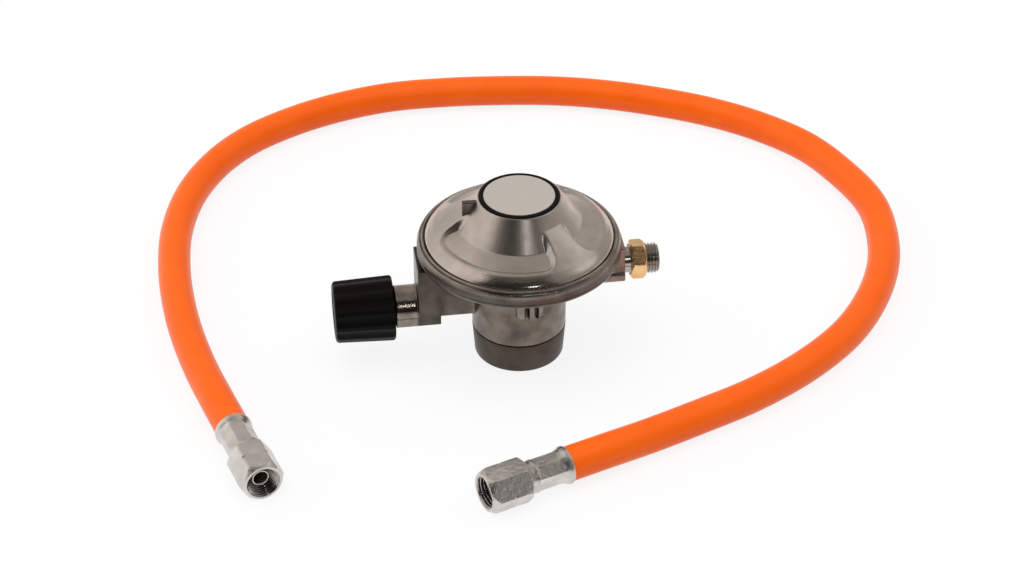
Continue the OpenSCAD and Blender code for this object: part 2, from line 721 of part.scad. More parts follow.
module diaphragm() color(rubber_black) rotate_extrude() polygon([
    [stem_d / 2 + 0.1, flat_z], [plate_d / 2 + 2, flat_z], [plate_d / 2 + 6, flat_z + 0.2],
    [chamber_r - 4, seat_z - 0.5], [chamber_r - 1, seat_z + 0.2], [bead_in_r, seat_z + 0.3],
    [bead_in_r, seat_z], [bead_out_r, seat_z], [bead_out_r, flange_z], [bead_in_r, flange_z],
    [bead_in_r, seat_z + 0.3 + rubber_t], [chamber_r - 1, seat_z + 0.2 + rubber_t],
    [chamber_r - 4, seat_z - 0.5 + rubber_t], [plate_d / 2 + 6, flat_z + 0.2 + rubber_t],
    [plate_d / 2 + 2, flat_z + rubber_t], [stem_d / 2 + 0.1, flat_z + rubber_t]]);

module main_spring() color(steel) {
    foot_z = plate_z + plate_t + main_wire_d / 2 + 0.1;
    swept_rod(helix(main_coil_d / 2, foot_z, screw_z - main_wire_d / 2 - 0.1, main_turns),
              main_wire_d / 2, 6);
}

// --- cover and cap ---

// Outline of the cover over its flange, as [radius, height]: the neck cone, then the ridges
function cover_line() = [
    [neck_r - 0.1, cover_h], [neck_r, cover_h - 0.1], [neck_r + 3.8, cover_h - 5.2],
    [26.4, 11.8], [34, 6.5], [37, 4.4], [cover_r - 1.4, 3], [cover_r - 0.4, 2.2],
    [cover_r, 1.4], [cover_r, flange_h]];

// Section of a pocket in the cover: down the cone, along its floor, then out over the cover
function pocket_section() = [
    [neck_r + 1.5, cover_h - 0.7], [neck_r + 1.6, cover_h - 2.5], [26.3, 8.4],
    [34.2, 4.8], [35.2, 5], [36, 7], [30, 14], [22, cover_h - 0.7]];

module cover_shell() rotate_extrude() translate([0, flange_z]) polygon(concat(
    [[cap_bore_r, cover_h - cap_sink], [cap_seat_r, cover_h - cap_sink], [cap_seat_r, cover_h]],
    cover_line(),
    [[recess_r - 0.05, flange_h], [recess_r - 0.05, 0], [chamber_r, 0],
     [33, 2], [24, 4.6], [19, 7], [screw_r + press_fit, 11],
     [screw_r + press_fit, cover_h - cap_sink - cap_skirt - 0.2],
     [cap_bore_r, cover_h - cap_sink - cap_skirt - 0.2]]));

module cover_pockets()
    for (p = pockets)
        rotate([0, 0, p[0]]) rotate_extrude(angle = p[1])
            translate([0, flange_z]) polygon(pocket_section());

module vent_block(grow) {
    translate([vent_x - grow, -vent_w / 2 - grow, vent_z - grow])
        cube([vent_l + 2 * grow, vent_w + 2 * grow, vent_h + grow]);
}

module cover() color(bright_zinc) difference() {
    cover_shell();
    cover_pockets();
    vent_block(press_fit);
    translate([vent_x + vent_l / 2, 0, flange_z])
        cylinder(r = vent_hole_r, h = vent_z + 1 - flange_z);
}

module vent_cap() color(zinc) difference() {
    vent_block(0);
    translate([vent_x + vent_l / 2, 0, vent_z - 1])
        cylinder(r = vent_hole_r, h = vent_h - 1);
    translate([vent_x - 1, 0, vent_z + vent_h - 2.4])
        rotate([0, 90, 0]) cylinder(r = vent_hole_r, h = vent_l / 2 + 1);
}

module adjusting_screw() color(brass) difference() {
    union() {
        translate([0, 0, screw_z]) cylinder(r = screw_r, h = screw_h);
        translate([0, 0, screw_z - 1.5]) cylinder(d = main_coil_d - main_wire_d - 1, h = 2);
    }
    translate([0, 0, screw_z + screw_h - 3]) cylinder(r = 5.2, h = 4, $fn = 6);
}

module cap_ring() color(black_plastic) rotate_extrude() polygon([
    [0, cap_seat_z - 0.4], [cap_bore_r - 2.4, cap_seat_z - 0.4],
    [cap_bore_r - 2.4, cap_seat_z - cap_skirt], [cap_bore_r - press_fit, cap_seat_z - cap_skirt],
    [cap_bore_r - press_fit, cap_seat_z], [cap_d / 2, cap_seat_z], [cap_d / 2, cap_z - 0.3],
    [cap_d / 2 - 0.3, cap_z], [label_d / 2 + press_fit, cap_z],
    [label_d / 2 + press_fit, cap_z - label_t], [0, cap_z - label_t]]);

module label_disc() color(label_grey)
    translate([0, 0, cap_z - label_t]) cylinder(d = label_d, h = label_t);

// --- outlet and hose ---

module outlet_lock_nut() color(brass) along_x(lock_nut_x, outlet_z) difference() {
    rotate([0, 0, 16]) hex_bar(lock_nut_af, lock_nut_t, nut_chamfer);
    translate([0, 0, -1]) cylinder(r = thread_minor_r, h = lock_nut_t + 2);
}

function left_at(s) = left_end + s * [cos(left_heading), sin(left_heading), 0];
function right_at(s) = right_end + s * [cos(right_heading), sin(right_heading), 0];

module hose_tube() color(orange) {
    full_r = hose_d / 2;
    crimp_r = hose_crimp_d / 2;
    ends = [-hose_tail, -lip_depth - 0.6, -lip_depth + 1.3, end_run];
    end_radii = [crimp_r, crimp_r, full_r, full_r];
    path = concat([for (s = ends) left_at(s)],
                  [for (p = hose_route) [p[0], p[1], hose_z]],
                  [for (i = [len(ends) - 1:-1:0]) right_at(ends[i])]);
    radii = concat(end_radii, [for (p = hose_route) full_r],
                   [for (i = [len(ends) - 1:-1:0]) end_radii[i]]);
    swept_tube(path, radii, hose_bore / 2, hose_sides);
}

module ferrule() color(steel) difference() {
    union() {
        translate([0, 0, -ferrule_len]) cylinder(d = ferrule_neck_d, h = ferrule_neck_len + 1);
        translate([0, 0, -ferrule_len + ferrule_neck_len])
            cylinder(r = ferrule_af / 2 / cos(22.5),
                h = ferrule_len - ferrule_neck_len - ferrule_lip_len + 1, $fn = 8);
        rotate_extrude() polygon([
            [0, -ferrule_lip_len], [ferrule_lip_d / 2 - 0.7, -ferrule_lip_len],
            [ferrule_lip_d / 2, -ferrule_lip_len + 0.8], [ferrule_lip_d / 2, -0.5],
            [ferrule_lip_d / 2 - 0.3, 0], [0, 0]]);
    }
    translate([0, 0, -ferrule_len - 1]) cylinder(r = shank_r + press_fit, h = 4);
    rotate_extrude() polygon([
        [0, -ferrule_len + ferrule_wall_end], [ferrule_in_r, -ferrule_len + ferrule_wall_end],
        [ferrule_in_r, -lip_depth - 0.7], [hose_d / 2 + 0.05, -lip_depth + 1.3],
        [hose_d / 2 + 0.05, 1], [0, 1]]);
}

module nipple() color(steel) {
    head_z = -ferrule_len - nut_gap - nut_back_t - 0.2;
    nose_z = -ferrule_len - nut_gap - nut_len + nut_thread_len + 0.05;
    bore_r = nipple_bore / 2;
    rotate_extrude() polygon([
        [bore_r, nose_z], [bore_r + 0.85, nose_z], [bore_r + 0.85, nose_z + 0.9],
        [nipple_head_r, nose_z + 2.1], [nipple_head_r, head_z], [shank_r, head_z],
        [shank_r, -ferrule_len + ferrule_wall_end + 0.1], [tail_r, -ferrule_len + ferrule_wall_end + 0.1],
        [tail_r, -1.6], [tail_r - 0.5, -1], [bore_r, -1]]);
}

module union_nut() color(steel) translate([0, 0, -ferrule_len - nut_gap - nut_len]) difference() {
    rotate([0, 0, 30]) hex_bar(nut_af, nut_len, nut_chamfer);
    rotate_extrude() polygon([
        [0, -1], [thread_r + 0.6, -1], [thread_r + 0.6, 0], [thread_minor_r, 0.9],
        [thread_minor_r, nut_thread_len], [thread_r + 0.2, nut_thread_len],
        [thread_r + 0.2, nut_len - nut_back_t], [shank_r + run_fit, nut_len - nut_back_t],
        [shank_r + run_fit, nut_len + 1], [0, nut_len + 1]]);
    rotate_extrude() polygon([
        [nut_notch_r, nut_len / 2], [nut_notch_r + 1, nut_len / 2 - 1],
        [nut_notch_r + 1, nut_len / 2 + 1]]);
}

body_casting();
socket_sleeve();
collar_clip();
collar_ring();
inlet_spigot();
passage_plug();
jet();
lever_pin();
cover();
diaphragm();
main_spring();
adjusting_screw();
cap_ring();
label_disc();
vent_cap();
locking_collar();
locking_ball(0);  // locking_ball_1
locking_ball(1);  // locking_ball_2
locking_ball(2);  // locking_ball_3
plunger();
plunger_spring();
knob();
knob_spindle();
spindle_seal();
spindle_clip();
diaphragm_plate();
backing_washer();
stem();
lever();
seat_pad();
outlet_lock_nut();
hose_tube();
left_fitting() ferrule();  // ferrule_left
right_fitting() ferrule();  // ferrule_right
left_fitting() nipple();  // nipple_left
right_fitting() nipple();  // nipple_right
left_fitting() union_nut();  // union_nut_left
right_fitting() union_nut();  // union_nut_right
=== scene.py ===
import json
import math

import bmesh
import bpy
import numpy as np
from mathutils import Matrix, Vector


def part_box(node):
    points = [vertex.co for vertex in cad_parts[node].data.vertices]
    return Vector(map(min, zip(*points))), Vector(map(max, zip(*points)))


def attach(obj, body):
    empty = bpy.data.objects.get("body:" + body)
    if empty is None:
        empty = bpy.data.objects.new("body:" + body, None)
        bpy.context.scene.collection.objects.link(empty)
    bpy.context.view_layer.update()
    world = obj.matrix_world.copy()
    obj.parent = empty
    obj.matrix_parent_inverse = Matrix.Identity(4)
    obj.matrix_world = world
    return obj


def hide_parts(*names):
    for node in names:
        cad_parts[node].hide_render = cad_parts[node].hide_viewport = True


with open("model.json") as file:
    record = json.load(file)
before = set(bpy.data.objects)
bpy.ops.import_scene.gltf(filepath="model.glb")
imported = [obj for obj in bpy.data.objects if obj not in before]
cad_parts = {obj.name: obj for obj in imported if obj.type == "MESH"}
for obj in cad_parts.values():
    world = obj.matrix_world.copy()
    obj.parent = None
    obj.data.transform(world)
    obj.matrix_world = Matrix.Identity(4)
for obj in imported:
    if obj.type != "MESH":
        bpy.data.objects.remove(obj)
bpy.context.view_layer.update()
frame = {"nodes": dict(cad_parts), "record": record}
NODES = frame["nodes"]
MM = 0.001
TAU = 2 * math.pi

# ---------------------------------------------------------------- camera
# The camera looks 36 degrees down from 8 degrees left of the front.
CAMERA_PLACE = (-0.1214, -0.8422, 0.6490)
CAMERA_PITCH = math.radians(36)
CAMERA_TURN = math.radians(8)
CAMERA_LENS = 86.13


def make_camera():
    data = bpy.data.cameras.new("camera")
    data.lens = CAMERA_LENS
    data.sensor_width = 36
    data.clip_start, data.clip_end = 0.05, 20
    cam = bpy.data.objects.new("camera", data)
    bpy.context.scene.collection.objects.link(cam)
    cam.location = CAMERA_PLACE
    look = Vector((math.sin(CAMERA_TURN) * math.cos(CAMERA_PITCH),
                   math.cos(CAMERA_TURN) * math.cos(CAMERA_PITCH), -math.sin(CAMERA_PITCH)))
    cam.rotation_mode = "QUATERNION"
    cam.rotation_quaternion = look.to_track_quat("-Z", "Y")
    bpy.context.scene.camera = cam


# ---------------------------------------------------------------- sizes of the part, in mm
CUP_R = 20.2
COVER_FOOT_Z = 57.8
SPINDLE_Z = 26.0
KNOB_X, KNOB_LEN, KNOB_OUT_R, KNOB_IN_R = -79.9, 25.5, 13.2, 14.1
KNOB_FLUTES, FLUTE_DEPTH, FLUTE_R = 12, 0.7, 7.0
OUTLET_Z, STUB_X, STUB_END_X = 41.2, 44.2, 60.0
STUB_NECK_R, OUTLET_BORE_R = 5.6, 3.0
THREAD_START_X = 48.2
THREAD_R, THREAD_CORE_R, THREAD_PITCH = 6.5785, 5.7225, 1.337
# Where a flank starts and ends, as a share of the half pitch
THREAD_FLANK = (0.06, 0.94)
BRASS_AF, BRASS_T, BRASS_TURN = 15.0, 6.4, 16.0
NUT_AF, NUT_LEN, NUT_THREAD_LEN, NUT_BACK_T = 17.0, 18.8, 10.5, 3.0
SHANK_R, NUT_NOTCH_R = 4.5, 9.2
FERRULE_LEN, FERRULE_AF = 18.9, 13.2
NUT_GAP = 0.15
HOSE_R, HOSE_CRIMP_R = 7.3, 5.75
# How far the tube reaches into a ferrule, and between which depths it thins on the way
HOSE_TAIL, THIN_FROM, THIN_TO = 17.2, 1.8, 3.7

# The hose's two ends and its route over the floor, in metres
LEFT_END, LEFT_HEADING = (-0.1263, -0.0508, 0.0085), math.radians(106)
RIGHT_END, RIGHT_HEADING = (0.0065, -0.0925, 0.0085), math.radians(20)
HOSE_Z = 0.00735
HOSE_ROUTE = [
    (-0.138, -0.007), (-0.143, 0.018), (-0.146, 0.043), (-0.147, 0.070), (-0.145, 0.098),
    (-0.138, 0.126), (-0.126, 0.150), (-0.110, 0.169), (-0.090, 0.183), (-0.066, 0.194),
    (-0.038, 0.201), (-0.010, 0.202), (0.018, 0.200), (0.045, 0.196), (0.070, 0.189),
    (0.094, 0.179), (0.118, 0.166), (0.140, 0.149), (0.159, 0.127), (0.171, 0.100),
    (0.177, 0.076), (0.176, 0.052), (0.170, 0.027), (0.158, 0.002), (0.141, -0.021),
    (0.118, -0.041), (0.092, -0.057), (0.065, -0.069), (0.043, -0.078)]


# ---------------------------------------------------------------- shape helpers
def smooth_min(a, b, k):
    """The smaller of two values, rounded where they meet over k."""
    h = np.clip(0.5 + 0.5 * (b - a) / k, 0, 1)
    return b * (1 - h) + a * h - k * h * (1 - h)


def smooth_step(x, low, high):
    t = np.clip((x - low) / (high - low), 0, 1)
    return t * t * (3 - 2 * t)


def around(count):
    """That many angles round a full turn."""
    return np.linspace(0, TAU, count, endpoint=False)


def turned(origin, heading, radii, depth, angles):
    """A ring about an axis that lies along heading: angle 0 points down."""
    radii = np.broadcast_to(radii, angles.shape)
    depth = np.broadcast_to(depth, angles.shape)
    down, side = radii * np.cos(angles), radii * np.sin(angles)
    c, s = math.cos(heading), math.sin(heading)
    return np.stack([origin[0] + depth * c - side * s, origin[1] + depth * s + side * c,
                     origin[2] - down], 1)


def upright(radii, height, angles):
    """A ring about the Z axis."""
    radii = np.broadcast_to(radii, angles.shape)
    height = np.broadcast_to(height, angles.shape)
    return np.stack([radii * np.cos(angles), radii * np.sin(angles), height], 1)


def rounded_line(corners, radius, steps=3):
    """A line of (r, z) corners with each inner corner turned into a small arc."""
    pts = [np.array(p, float) for p in corners]
    out = [pts[0]]
    for a, b, c in zip(pts, pts[1:], pts[2:]):
        la, lc = np.linalg.norm(a - b), np.linalg.norm(c - b)
        cut = min(radius, 0.45 * la, 0.45 * lc)
        p, q = b + (a - b) / la * cut, b + (c - b) / lc * cut
        for t in np.linspace(0, 1, steps):
            out.append((1 - t) ** 2 * p + 2 * t * (1 - t) * b + t * t * q)
    out.append(pts[-1])
    return out


def hex_radius(angles, af, corner, turn):
    """Distance from the axis to a hexagon with rounded corners, af wide across its flats."""
    half = TAU / 12
    a = np.abs((angles - turn + half) % (2 * half) - half)
    flat = af / 2 / np.cos(a)
    inner = af / 2 - corner
    cx, cy = inner, inner * math.tan(half)
    along = cx * np.cos(a) + cy * np.sin(a)
    across = cx * np.sin(a) - cy * np.cos(a)
    arc = along + np.sqrt(np.maximum(corner ** 2 - across ** 2, 0))
    return np.where(af / 2 * np.tan(a) > cy, arc, flat)


def thread_wave(phase):
    """0 in the valley and 1 on the crest of a thread with narrow flats."""
    tri = 1 - 2 * np.abs(phase % 1 - 0.5)
    return smooth_step(tri, *THREAD_FLANK)


# ---------------------------------------------------------------- mesh helpers
def rework(mesh, change):
    """Takes a mesh through bmesh: change is what happens to it there."""
    work = bmesh.new()
    work.from_mesh(mesh)
    change(work)
    work.to_mesh(mesh)
    work.free()


def face_outward(work):
    bmesh.ops.recalc_face_normals(work, faces=work.faces)


def fill_ends(work):
    """Closes the open ends of a turned mesh with flat faces."""
    bmesh.ops.holes_fill(work, edges=[e for e in work.edges if e.is_boundary])
    face_outward(work)


def ring_mesh(name, rings, joined=True):
    """Quads between rings of points in mm: the last joins the first, or flat ends close it."""
    count, sides = len(rings), len(rings[0])
    points = np.concatenate(rings) * MM
    faces = []
    for i in range(count if joined else count - 1):
        a, b = i * sides, ((i + 1) % count) * sides
        for k in range(sides):
            n = (k + 1) % sides
            faces.append((a + k, a + n, b + n, b + k))
    mesh = bpy.data.meshes.new(name)
    mesh.from_pydata([tuple(p) for p in points], [], faces)
    mesh.validate()
    rework(mesh, face_outward if joined else fill_ends)
    return mesh


def add_piece(name, mesh, body, slot, crease, replaced=(), finish=None):
    """A piece in its slot's material or its own finish; edges sharper than crease stay hard."""
    piece = bpy.data.objects.new(name, mesh)
    bpy.context.scene.collection.objects.link(piece)
    mesh.materials.clear()
    mesh.materials.append(finish or MATERIALS[slot])
    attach(piece, body)
    if replaced:
        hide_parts(*replaced)

    def soften(work):
        for face in work.faces:
            face.smooth = True
        for edge in work.edges:
            edge.smooth = (len(edge.link_faces) == 2
                           and edge.calc_face_angle(0) < math.radians(crease))

    rework(mesh, soften)
    return piece


# ---------------------------------------------------------------- material helpers
NOISE_SPAN = (0.3, 0.7)


def add_node(tree, kind, inputs, out=0, **fields):
    """A node with its fields set and its inputs linked or set; returns one of its outputs."""
    node = tree.nodes.new("ShaderNode" + kind)
    for field, value in fields.items():
        setattr(node, field, value)
    for name, value in inputs.items():
        if isinstance(value, bpy.types.NodeSocket):
            tree.links.new(value, node.inputs[name])
        else:
            node.inputs[name].default_value = value
    return node.outputs[out]


def math_node(tree, operation, *values):
    return add_node(tree, "Math", dict(enumerate(values)), operation=operation)


def map_range(tree, value, source, target=(0, 1), **fields):
    inputs = {"Value": value, "From Min": source[0], "From Max": source[1],
              "To Min": target[0], "To Max": target[1]}
    return add_node(tree, "MapRange", inputs, "Result", **fields)


def mix_color(tree, factor, a, b, blend="MIX"):
    return add_node(tree, "Mix", {"Factor": factor, "A": a, "B": b}, "Result",
                    data_type="RGBA", blend_type=blend)


def grey_ramp(tree, value, stops, interpolation="LINEAR"):
    """A ramp of greys over 0 to 1: stops are (position, level)."""
    ramp = tree.nodes.new("ShaderNodeValToRGB")
    ramp.color_ramp.interpolation = interpolation
    marks = ramp.color_ramp.elements
    while len(marks) < len(stops):
        marks.new(0.5)
    for mark, (at, level) in zip(marks, stops):
        mark.position = at
        mark.color = (level, level, level, 1)
    tree.links.new(value, ramp.inputs["Fac"])
    return ramp.outputs["Color"]


def place_parts(tree):
    """X, Y and Z in the piece's own space, which here is the shared frame in metres."""
    parts = tree.nodes.new("ShaderNodeSeparateXYZ")
    tree.links.new(add_node(tree, "TexCoord", {}, "Object"), parts.inputs[0])
    return parts.outputs


def along_axis(tree, axis, stops):
    """A grey that follows one axis of the shared frame: stops are (metres, level)."""
    first, last = stops[0][0], stops[-1][0]
    run = map_range(tree, place_parts(tree)[axis], (first, last))
    return grey_ramp(tree, run, [((at - first) / (last - first), level) for at, level in stops])


def add_noise(tree, scale, detail, stretch=(1, 1, 1)):
    place = add_node(tree, "TexCoord", {}, "Object")
    place = add_node(tree, "Mapping", {"Vector": place, "Scale": stretch}, "Vector")
    return add_node(tree, "TexNoise", {"Vector": place, "Scale": scale, "Detail": detail}, "Fac")


def spread(tree, noise, low, high):
    """Maps a noise's usual span to low..high."""
    return map_range(tree, noise, NOISE_SPAN, (low, high))


def two_tone(tree, shader, noise, dark, light):
    """Lets the base colour follow a noise from dark to light."""
    mixed = mix_color(tree, spread(tree, noise, 0, 1), (*dark, 1), (*light, 1))
    tree.links.new(mixed, shader.inputs["Base Color"])


def add_bump(tree, shader, value, distance):
    """Adds a bump over those that the shader has."""
    inputs = {"Distance": distance, "Height": value}
    before = shader.inputs["Normal"]
    if before.is_linked:
        inputs["Normal"] = before.links[0].from_socket
    tree.links.new(add_node(tree, "Bump", inputs, "Normal"), before)


def shade_color(tree, shader, level):
    """Multiplies what the base colour is linked to by a level."""
    base = shader.inputs["Base Color"]
    tree.links.new(mix_color(tree, 1, base.links[0].from_socket, level, "MULTIPLY"), base)


def scale_rough(tree, shader, share):
    """Multiplies what the roughness is linked to by a share."""
    rough = shader.inputs["Roughness"]
    tree.links.new(math_node(tree, "MULTIPLY", rough.links[0].from_socket, share), rough)


def new_material(name, color, metallic, roughness, specular=None):
    """A Principled material; returns it with its node tree and shader node."""
    mat = bpy.data.materials.new(name)
    mat.use_nodes = True
    shader = mat.node_tree.nodes["Principled BSDF"]
    shader.inputs["Base Color"].default_value = (*color, 1)
    shader.inputs["Metallic"].default_value = metallic
    shader.inputs["Roughness"].default_value = roughness
    if specular is not None:
        shader.inputs["Specular IOR Level"].default_value = specular
    return mat, mat.node_tree, shader


def mottled_metal(name, dark, light, rough, patch, grain, depth):
    """A metal with soft patches of tone and a fine grain: patch and grain are noise scales."""
    mat, tree, shader = new_material(name, light, 1.0, rough[0])
    patches = add_noise(tree, patch, 4.0)
    two_tone(tree, shader, patches, dark, light)
    tree.links.new(spread(tree, patches, rough[1], rough[0]), shader.inputs["Roughness"])
    add_bump(tree, shader, add_noise(tree, grain, 2.0), depth)
    return mat, tree, shader


# ---------------------------------------------------------------- materials
# Levels and roughness shares are (metres along an axis, value). The knob arm and the outlet boss
# are brighter, and the block between arm and cup, and less so the cup, are darkened as painted
# shade under the dish's rim; the arm is smoother.
CAST_TONE_AND_SHADE = [(-0.060, 1.6), (-0.0455, 1.6), (-0.0442, 0.42), (-0.0345, 0.46), (-0.030, 0.6),
               (-0.019, 0.72), (-0.017, 0.88), (0.022, 0.9), (0.030, 1.35), (0.045, 1.35)]
CAST_ROUGHNESS = [(-0.060, 0.5), (-0.0455, 0.5), (-0.0442, 1.0), (0.045, 1.0)]
# Painted shade on the rim's lower face and underside and a painted highlight on its top, as
# (metres up, level)
RIM_SHADE_AND_HIGHLIGHT = [(0.0500, 0.42), (0.0558, 0.45), (0.0576, 1.15), (0.0592, 1.2)]
KNURL_MARKS = 520
KNURL_BAND = [(0.0520, 0), (0.0545, 1), (0.0572, 1), (0.0580, 0)]
# The cover's rolled edge, outside its pockets, is burnished by the roller
POLISHED_R, POLISH = (0.0360, 0.0378), (1.0, 0.5)


def make_casting():
    mat, tree, shader = mottled_metal("cast_zinc", (0.12, 0.098, 0.082), (0.265, 0.222, 0.19),
                                      (0.24, 0.38), 110, 2000, 0.00004)
    # Painted shade: the block and cup under the dish's rim are darkened; arm and outlet boss are
    # brighter
    shade_color(tree, shader, along_axis(tree, "X", CAST_TONE_AND_SHADE))
    scale_rough(tree, shader, along_axis(tree, "X", CAST_ROUGHNESS))
    return mat


def make_cover():
    mat, tree, shader = mottled_metal("cover_zinc", (0.49, 0.43, 0.385), (0.60, 0.535, 0.485),
                                      (0.28, 0.38), 120, 1300, 0.00004)
    parts = place_parts(tree)
    flat = add_node(tree, "CombineXYZ", {"X": parts["X"], "Y": parts["Y"]})
    reach = add_node(tree, "VectorMath", {0: flat}, "Value", operation="LENGTH")
    scale_rough(tree, shader, map_range(tree, reach, POLISHED_R, POLISH))
    return mat


def make_collar():
    mat, tree, shader = new_material("dark_collar", (0.085, 0.07, 0.06), 0.85, 0.42)
    two_tone(tree, shader, add_noise(tree, 130, 5.0), (0.064, 0.051, 0.043),
             (0.105, 0.086, 0.072))
    add_bump(tree, shader, add_noise(tree, 1500, 3.0), 0.00003)
    return mat


def make_rim_metal():
    """The turned rim: brighter than the cast skin, with the fine knurl of its rolled edge; its
    lower face and underside are painted darker as shade and its top painted brighter as a
    highlight.
    """
    mat, tree, shader = mottled_metal("turned_zinc", (0.19, 0.163, 0.143), (0.33, 0.29, 0.258),
                                      (0.20, 0.30), 120, 2200, 0.00002)
    parts = place_parts(tree)
    turn = math_node(tree, "ARCTAN2", parts["Y"], parts["X"])
    wave = math_node(tree, "SINE", math_node(tree, "MULTIPLY", turn, KNURL_MARKS))
    marks = math_node(tree, "MULTIPLY", wave, along_axis(tree, "Z", KNURL_BAND))
    add_bump(tree, shader, marks, 0.00004)
    shade_color(tree, shader, along_axis(tree, "Z", RIM_SHADE_AND_HIGHLIGHT))
    return mat


def make_steel():
    mat, tree, shader = mottled_metal("plated_steel", (0.58, 0.545, 0.515), (0.74, 0.70, 0.67),
                                      (0.27, 0.39), 160, 3000, 0.00002)
    add_bump(tree, shader, add_noise(tree, 520, 5.0), 0.00026)
    return mat


def make_spring():
    return new_material("spring_steel", (0.50, 0.50, 0.51), 1.0, 0.28)[0]


def make_brass():
    mat, tree, shader = mottled_metal("brass", (0.78, 0.46, 0.20), (0.93, 0.60, 0.30),
                                      (0.20, 0.30), 150, 3000, 0.00001)
    add_bump(tree, shader, add_noise(tree, 700, 4.0, (0.18, 1.6, 1.6)), 0.00007)
    return mat


def make_plastic():
    mat, tree, shader = new_material("black_plastic", (0.0034, 0.0031, 0.0028), 0.0, 0.42, 0.08)
    add_bump(tree, shader, add_noise(tree, 2400, 2.0), 0.00003)
    return mat


def make_rubber():
    return new_material("seal_rubber", (0.02, 0.02, 0.02), 0.0, 0.55)[0]


def make_label():
    mat, tree, shader = new_material("label_grey", (0.56, 0.52, 0.478), 0.35, 0.42)
    add_bump(tree, shader, add_noise(tree, 1800, 2.0), 0.00001)
    return mat


def make_hose():
    mat, tree, shader = new_material("hose_orange", (0.97, 0.13, 0.003), 0.0, 0.34, 0.22)
    two_tone(tree, shader, add_noise(tree, 60, 3.0), (0.97, 0.125, 0.0025),
             (1.0, 0.142, 0.0035))
    add_bump(tree, shader, add_noise(tree, 900, 2.0), 0.00004)
    return mat


MAKERS = {
    "zinc_casting": make_casting, "zinc_cover": make_cover, "dark_collar": make_collar,
    "plated_steel": make_steel, "spring_steel": make_spring, "brass": make_brass,
    "black_plastic": make_plastic, "seal_rubber": make_rubber, "label_grey": make_label,
    "hose_orange": make_hose}
MATERIALS = {slot: make() for slot, make in MAKERS.items()}
RIM_METAL = make_rim_metal()
# Freshly cut threads, also put on the thread inside the union nuts as painted shade in their
# holes; the lobes of the rib on the cup, painted lighter as a highlight; and the slots between
# them, painted dark as shade
THREAD_METAL_AND_HOLE_SHADE = mottled_metal("cut_zinc_and_hole_shade", (0.30, 0.275, 0.255), (0.46, 0.425, 0.40),
                           (0.16, 0.26), 160, 2600, 0.00001)[0]
RIB_HIGHLIGHT_METAL = mottled_metal("rib_zinc_painted_highlight", (0.15, 0.123, 0.105), (0.32, 0.27, 0.235),
                          (0.26, 0.38), 150, 2000, 0.00004)[0]
SLOT_SHADE_METAL = mottled_metal("slot_zinc_painted_shade", (0.035, 0.027, 0.022), (0.085, 0.067, 0.056),
                           (0.4, 0.5), 150, 2000, 0.00004)[0]


def dress_cad_nodes():
    """Gives every CAD node the material of its own slot."""
    for part in frame["record"]["subparts"]:
        mesh = NODES[part["node"]].data
        mesh.materials.clear()
        mesh.materials.append(MATERIALS[part["material_slot"]])


# ---------------------------------------------------------------- casting, in metres
CAST_VOXEL = 0.00042
CAST_SMOOTH_STEPS = 4
STUB_CUT_X = (STUB_X + 0.9) * MM
# The rim is a crisp turned piece of its own, so the casting draws back under it: where that
# starts and is full, the reach at which it ends, and how far it goes
HELD_R, HELD_Z, HELD_END_R = (0.0385, 0.0400), (0.0502, 0.0512), 0.0440
HELD_SIDE, HELD_TOP, HELD_TOP_Z = 0.00045, 0.00035, 0.0575
# The rib on the cup is a piece of its own too, so the wall behind it is plain: half the width
# of that wall in degrees, its upper end and its radius
PLAIN_TURN, PLAIN_Z, PLAIN_R = 22, 0.0432, (CUP_R - 0.05) * MM
RIB_TURN = -84.5


def cut_off_stub(work):
    """Cuts the casting off behind the thread, which is a piece of its own."""
    bmesh.ops.remove_doubles(work, verts=work.verts, dist=1e-6)
    cut = bmesh.ops.bisect_plane(work, geom=work.verts[:] + work.edges[:] + work.faces[:],
                                 plane_co=(STUB_CUT_X, 0, 0), plane_no=(1, 0, 0),
                                 clear_outer=True)
    rim = [e for e in cut["geom_cut"] if isinstance(e, bmesh.types.BMEdge)]
    bmesh.ops.holes_fill(work, edges=rim)


def make_casting_body():
    """The die casting, with the soft inner corners and rounded edges of a real one."""
    mesh = NODES["body_casting"].data.copy()
    rework(mesh, cut_off_stub)
    temp = bpy.data.objects.new("casting", mesh)
    bpy.context.scene.collection.objects.link(temp)
    remesh = temp.modifiers.new("remesh", "REMESH")
    remesh.mode = "VOXEL"
    remesh.voxel_size = CAST_VOXEL
    soft = temp.modifiers.new("soft", "SMOOTH")
    soft.factor, soft.iterations = 0.5, CAST_SMOOTH_STEPS
    depsgraph = bpy.context.evaluated_depsgraph_get()
    done = bpy.data.meshes.new_from_object(temp.evaluated_get(depsgraph))
    bpy.data.objects.remove(temp)
    co = np.empty(len(done.vertices) * 3)
    done.vertices.foreach_get("co", co)
    co = co.reshape(-1, 3)
    reach = np.hypot(co[:, 0], co[:, 1])
    held = smooth_step(reach, *HELD_R) * smooth_step(co[:, 2], *HELD_Z)
    held = np.where((reach > HELD_END_R) | (co[:, 2] < HELD_Z[0]), 0, held)
    co[:, :2] *= (1 - held * HELD_SIDE / np.maximum(reach, 1e-6))[:, None]
    co[:, 2] -= held * HELD_TOP * (co[:, 2] > HELD_TOP_Z)
    turn = np.degrees(np.arctan2(co[:, 1], co[:, 0])) - RIB_TURN
    plain = (np.abs(turn) < PLAIN_TURN) & (reach > CUP_R * MM) & (co[:, 2] < PLAIN_Z)
    co[:, :2] *= np.where(plain, PLAIN_R / np.maximum(reach, 1e-6), 1)[:, None]
    done.vertices.foreach_set("co", co.ravel())
    add_piece("casting", done, "regulator", "zinc_casting", 50, ["body_casting"])


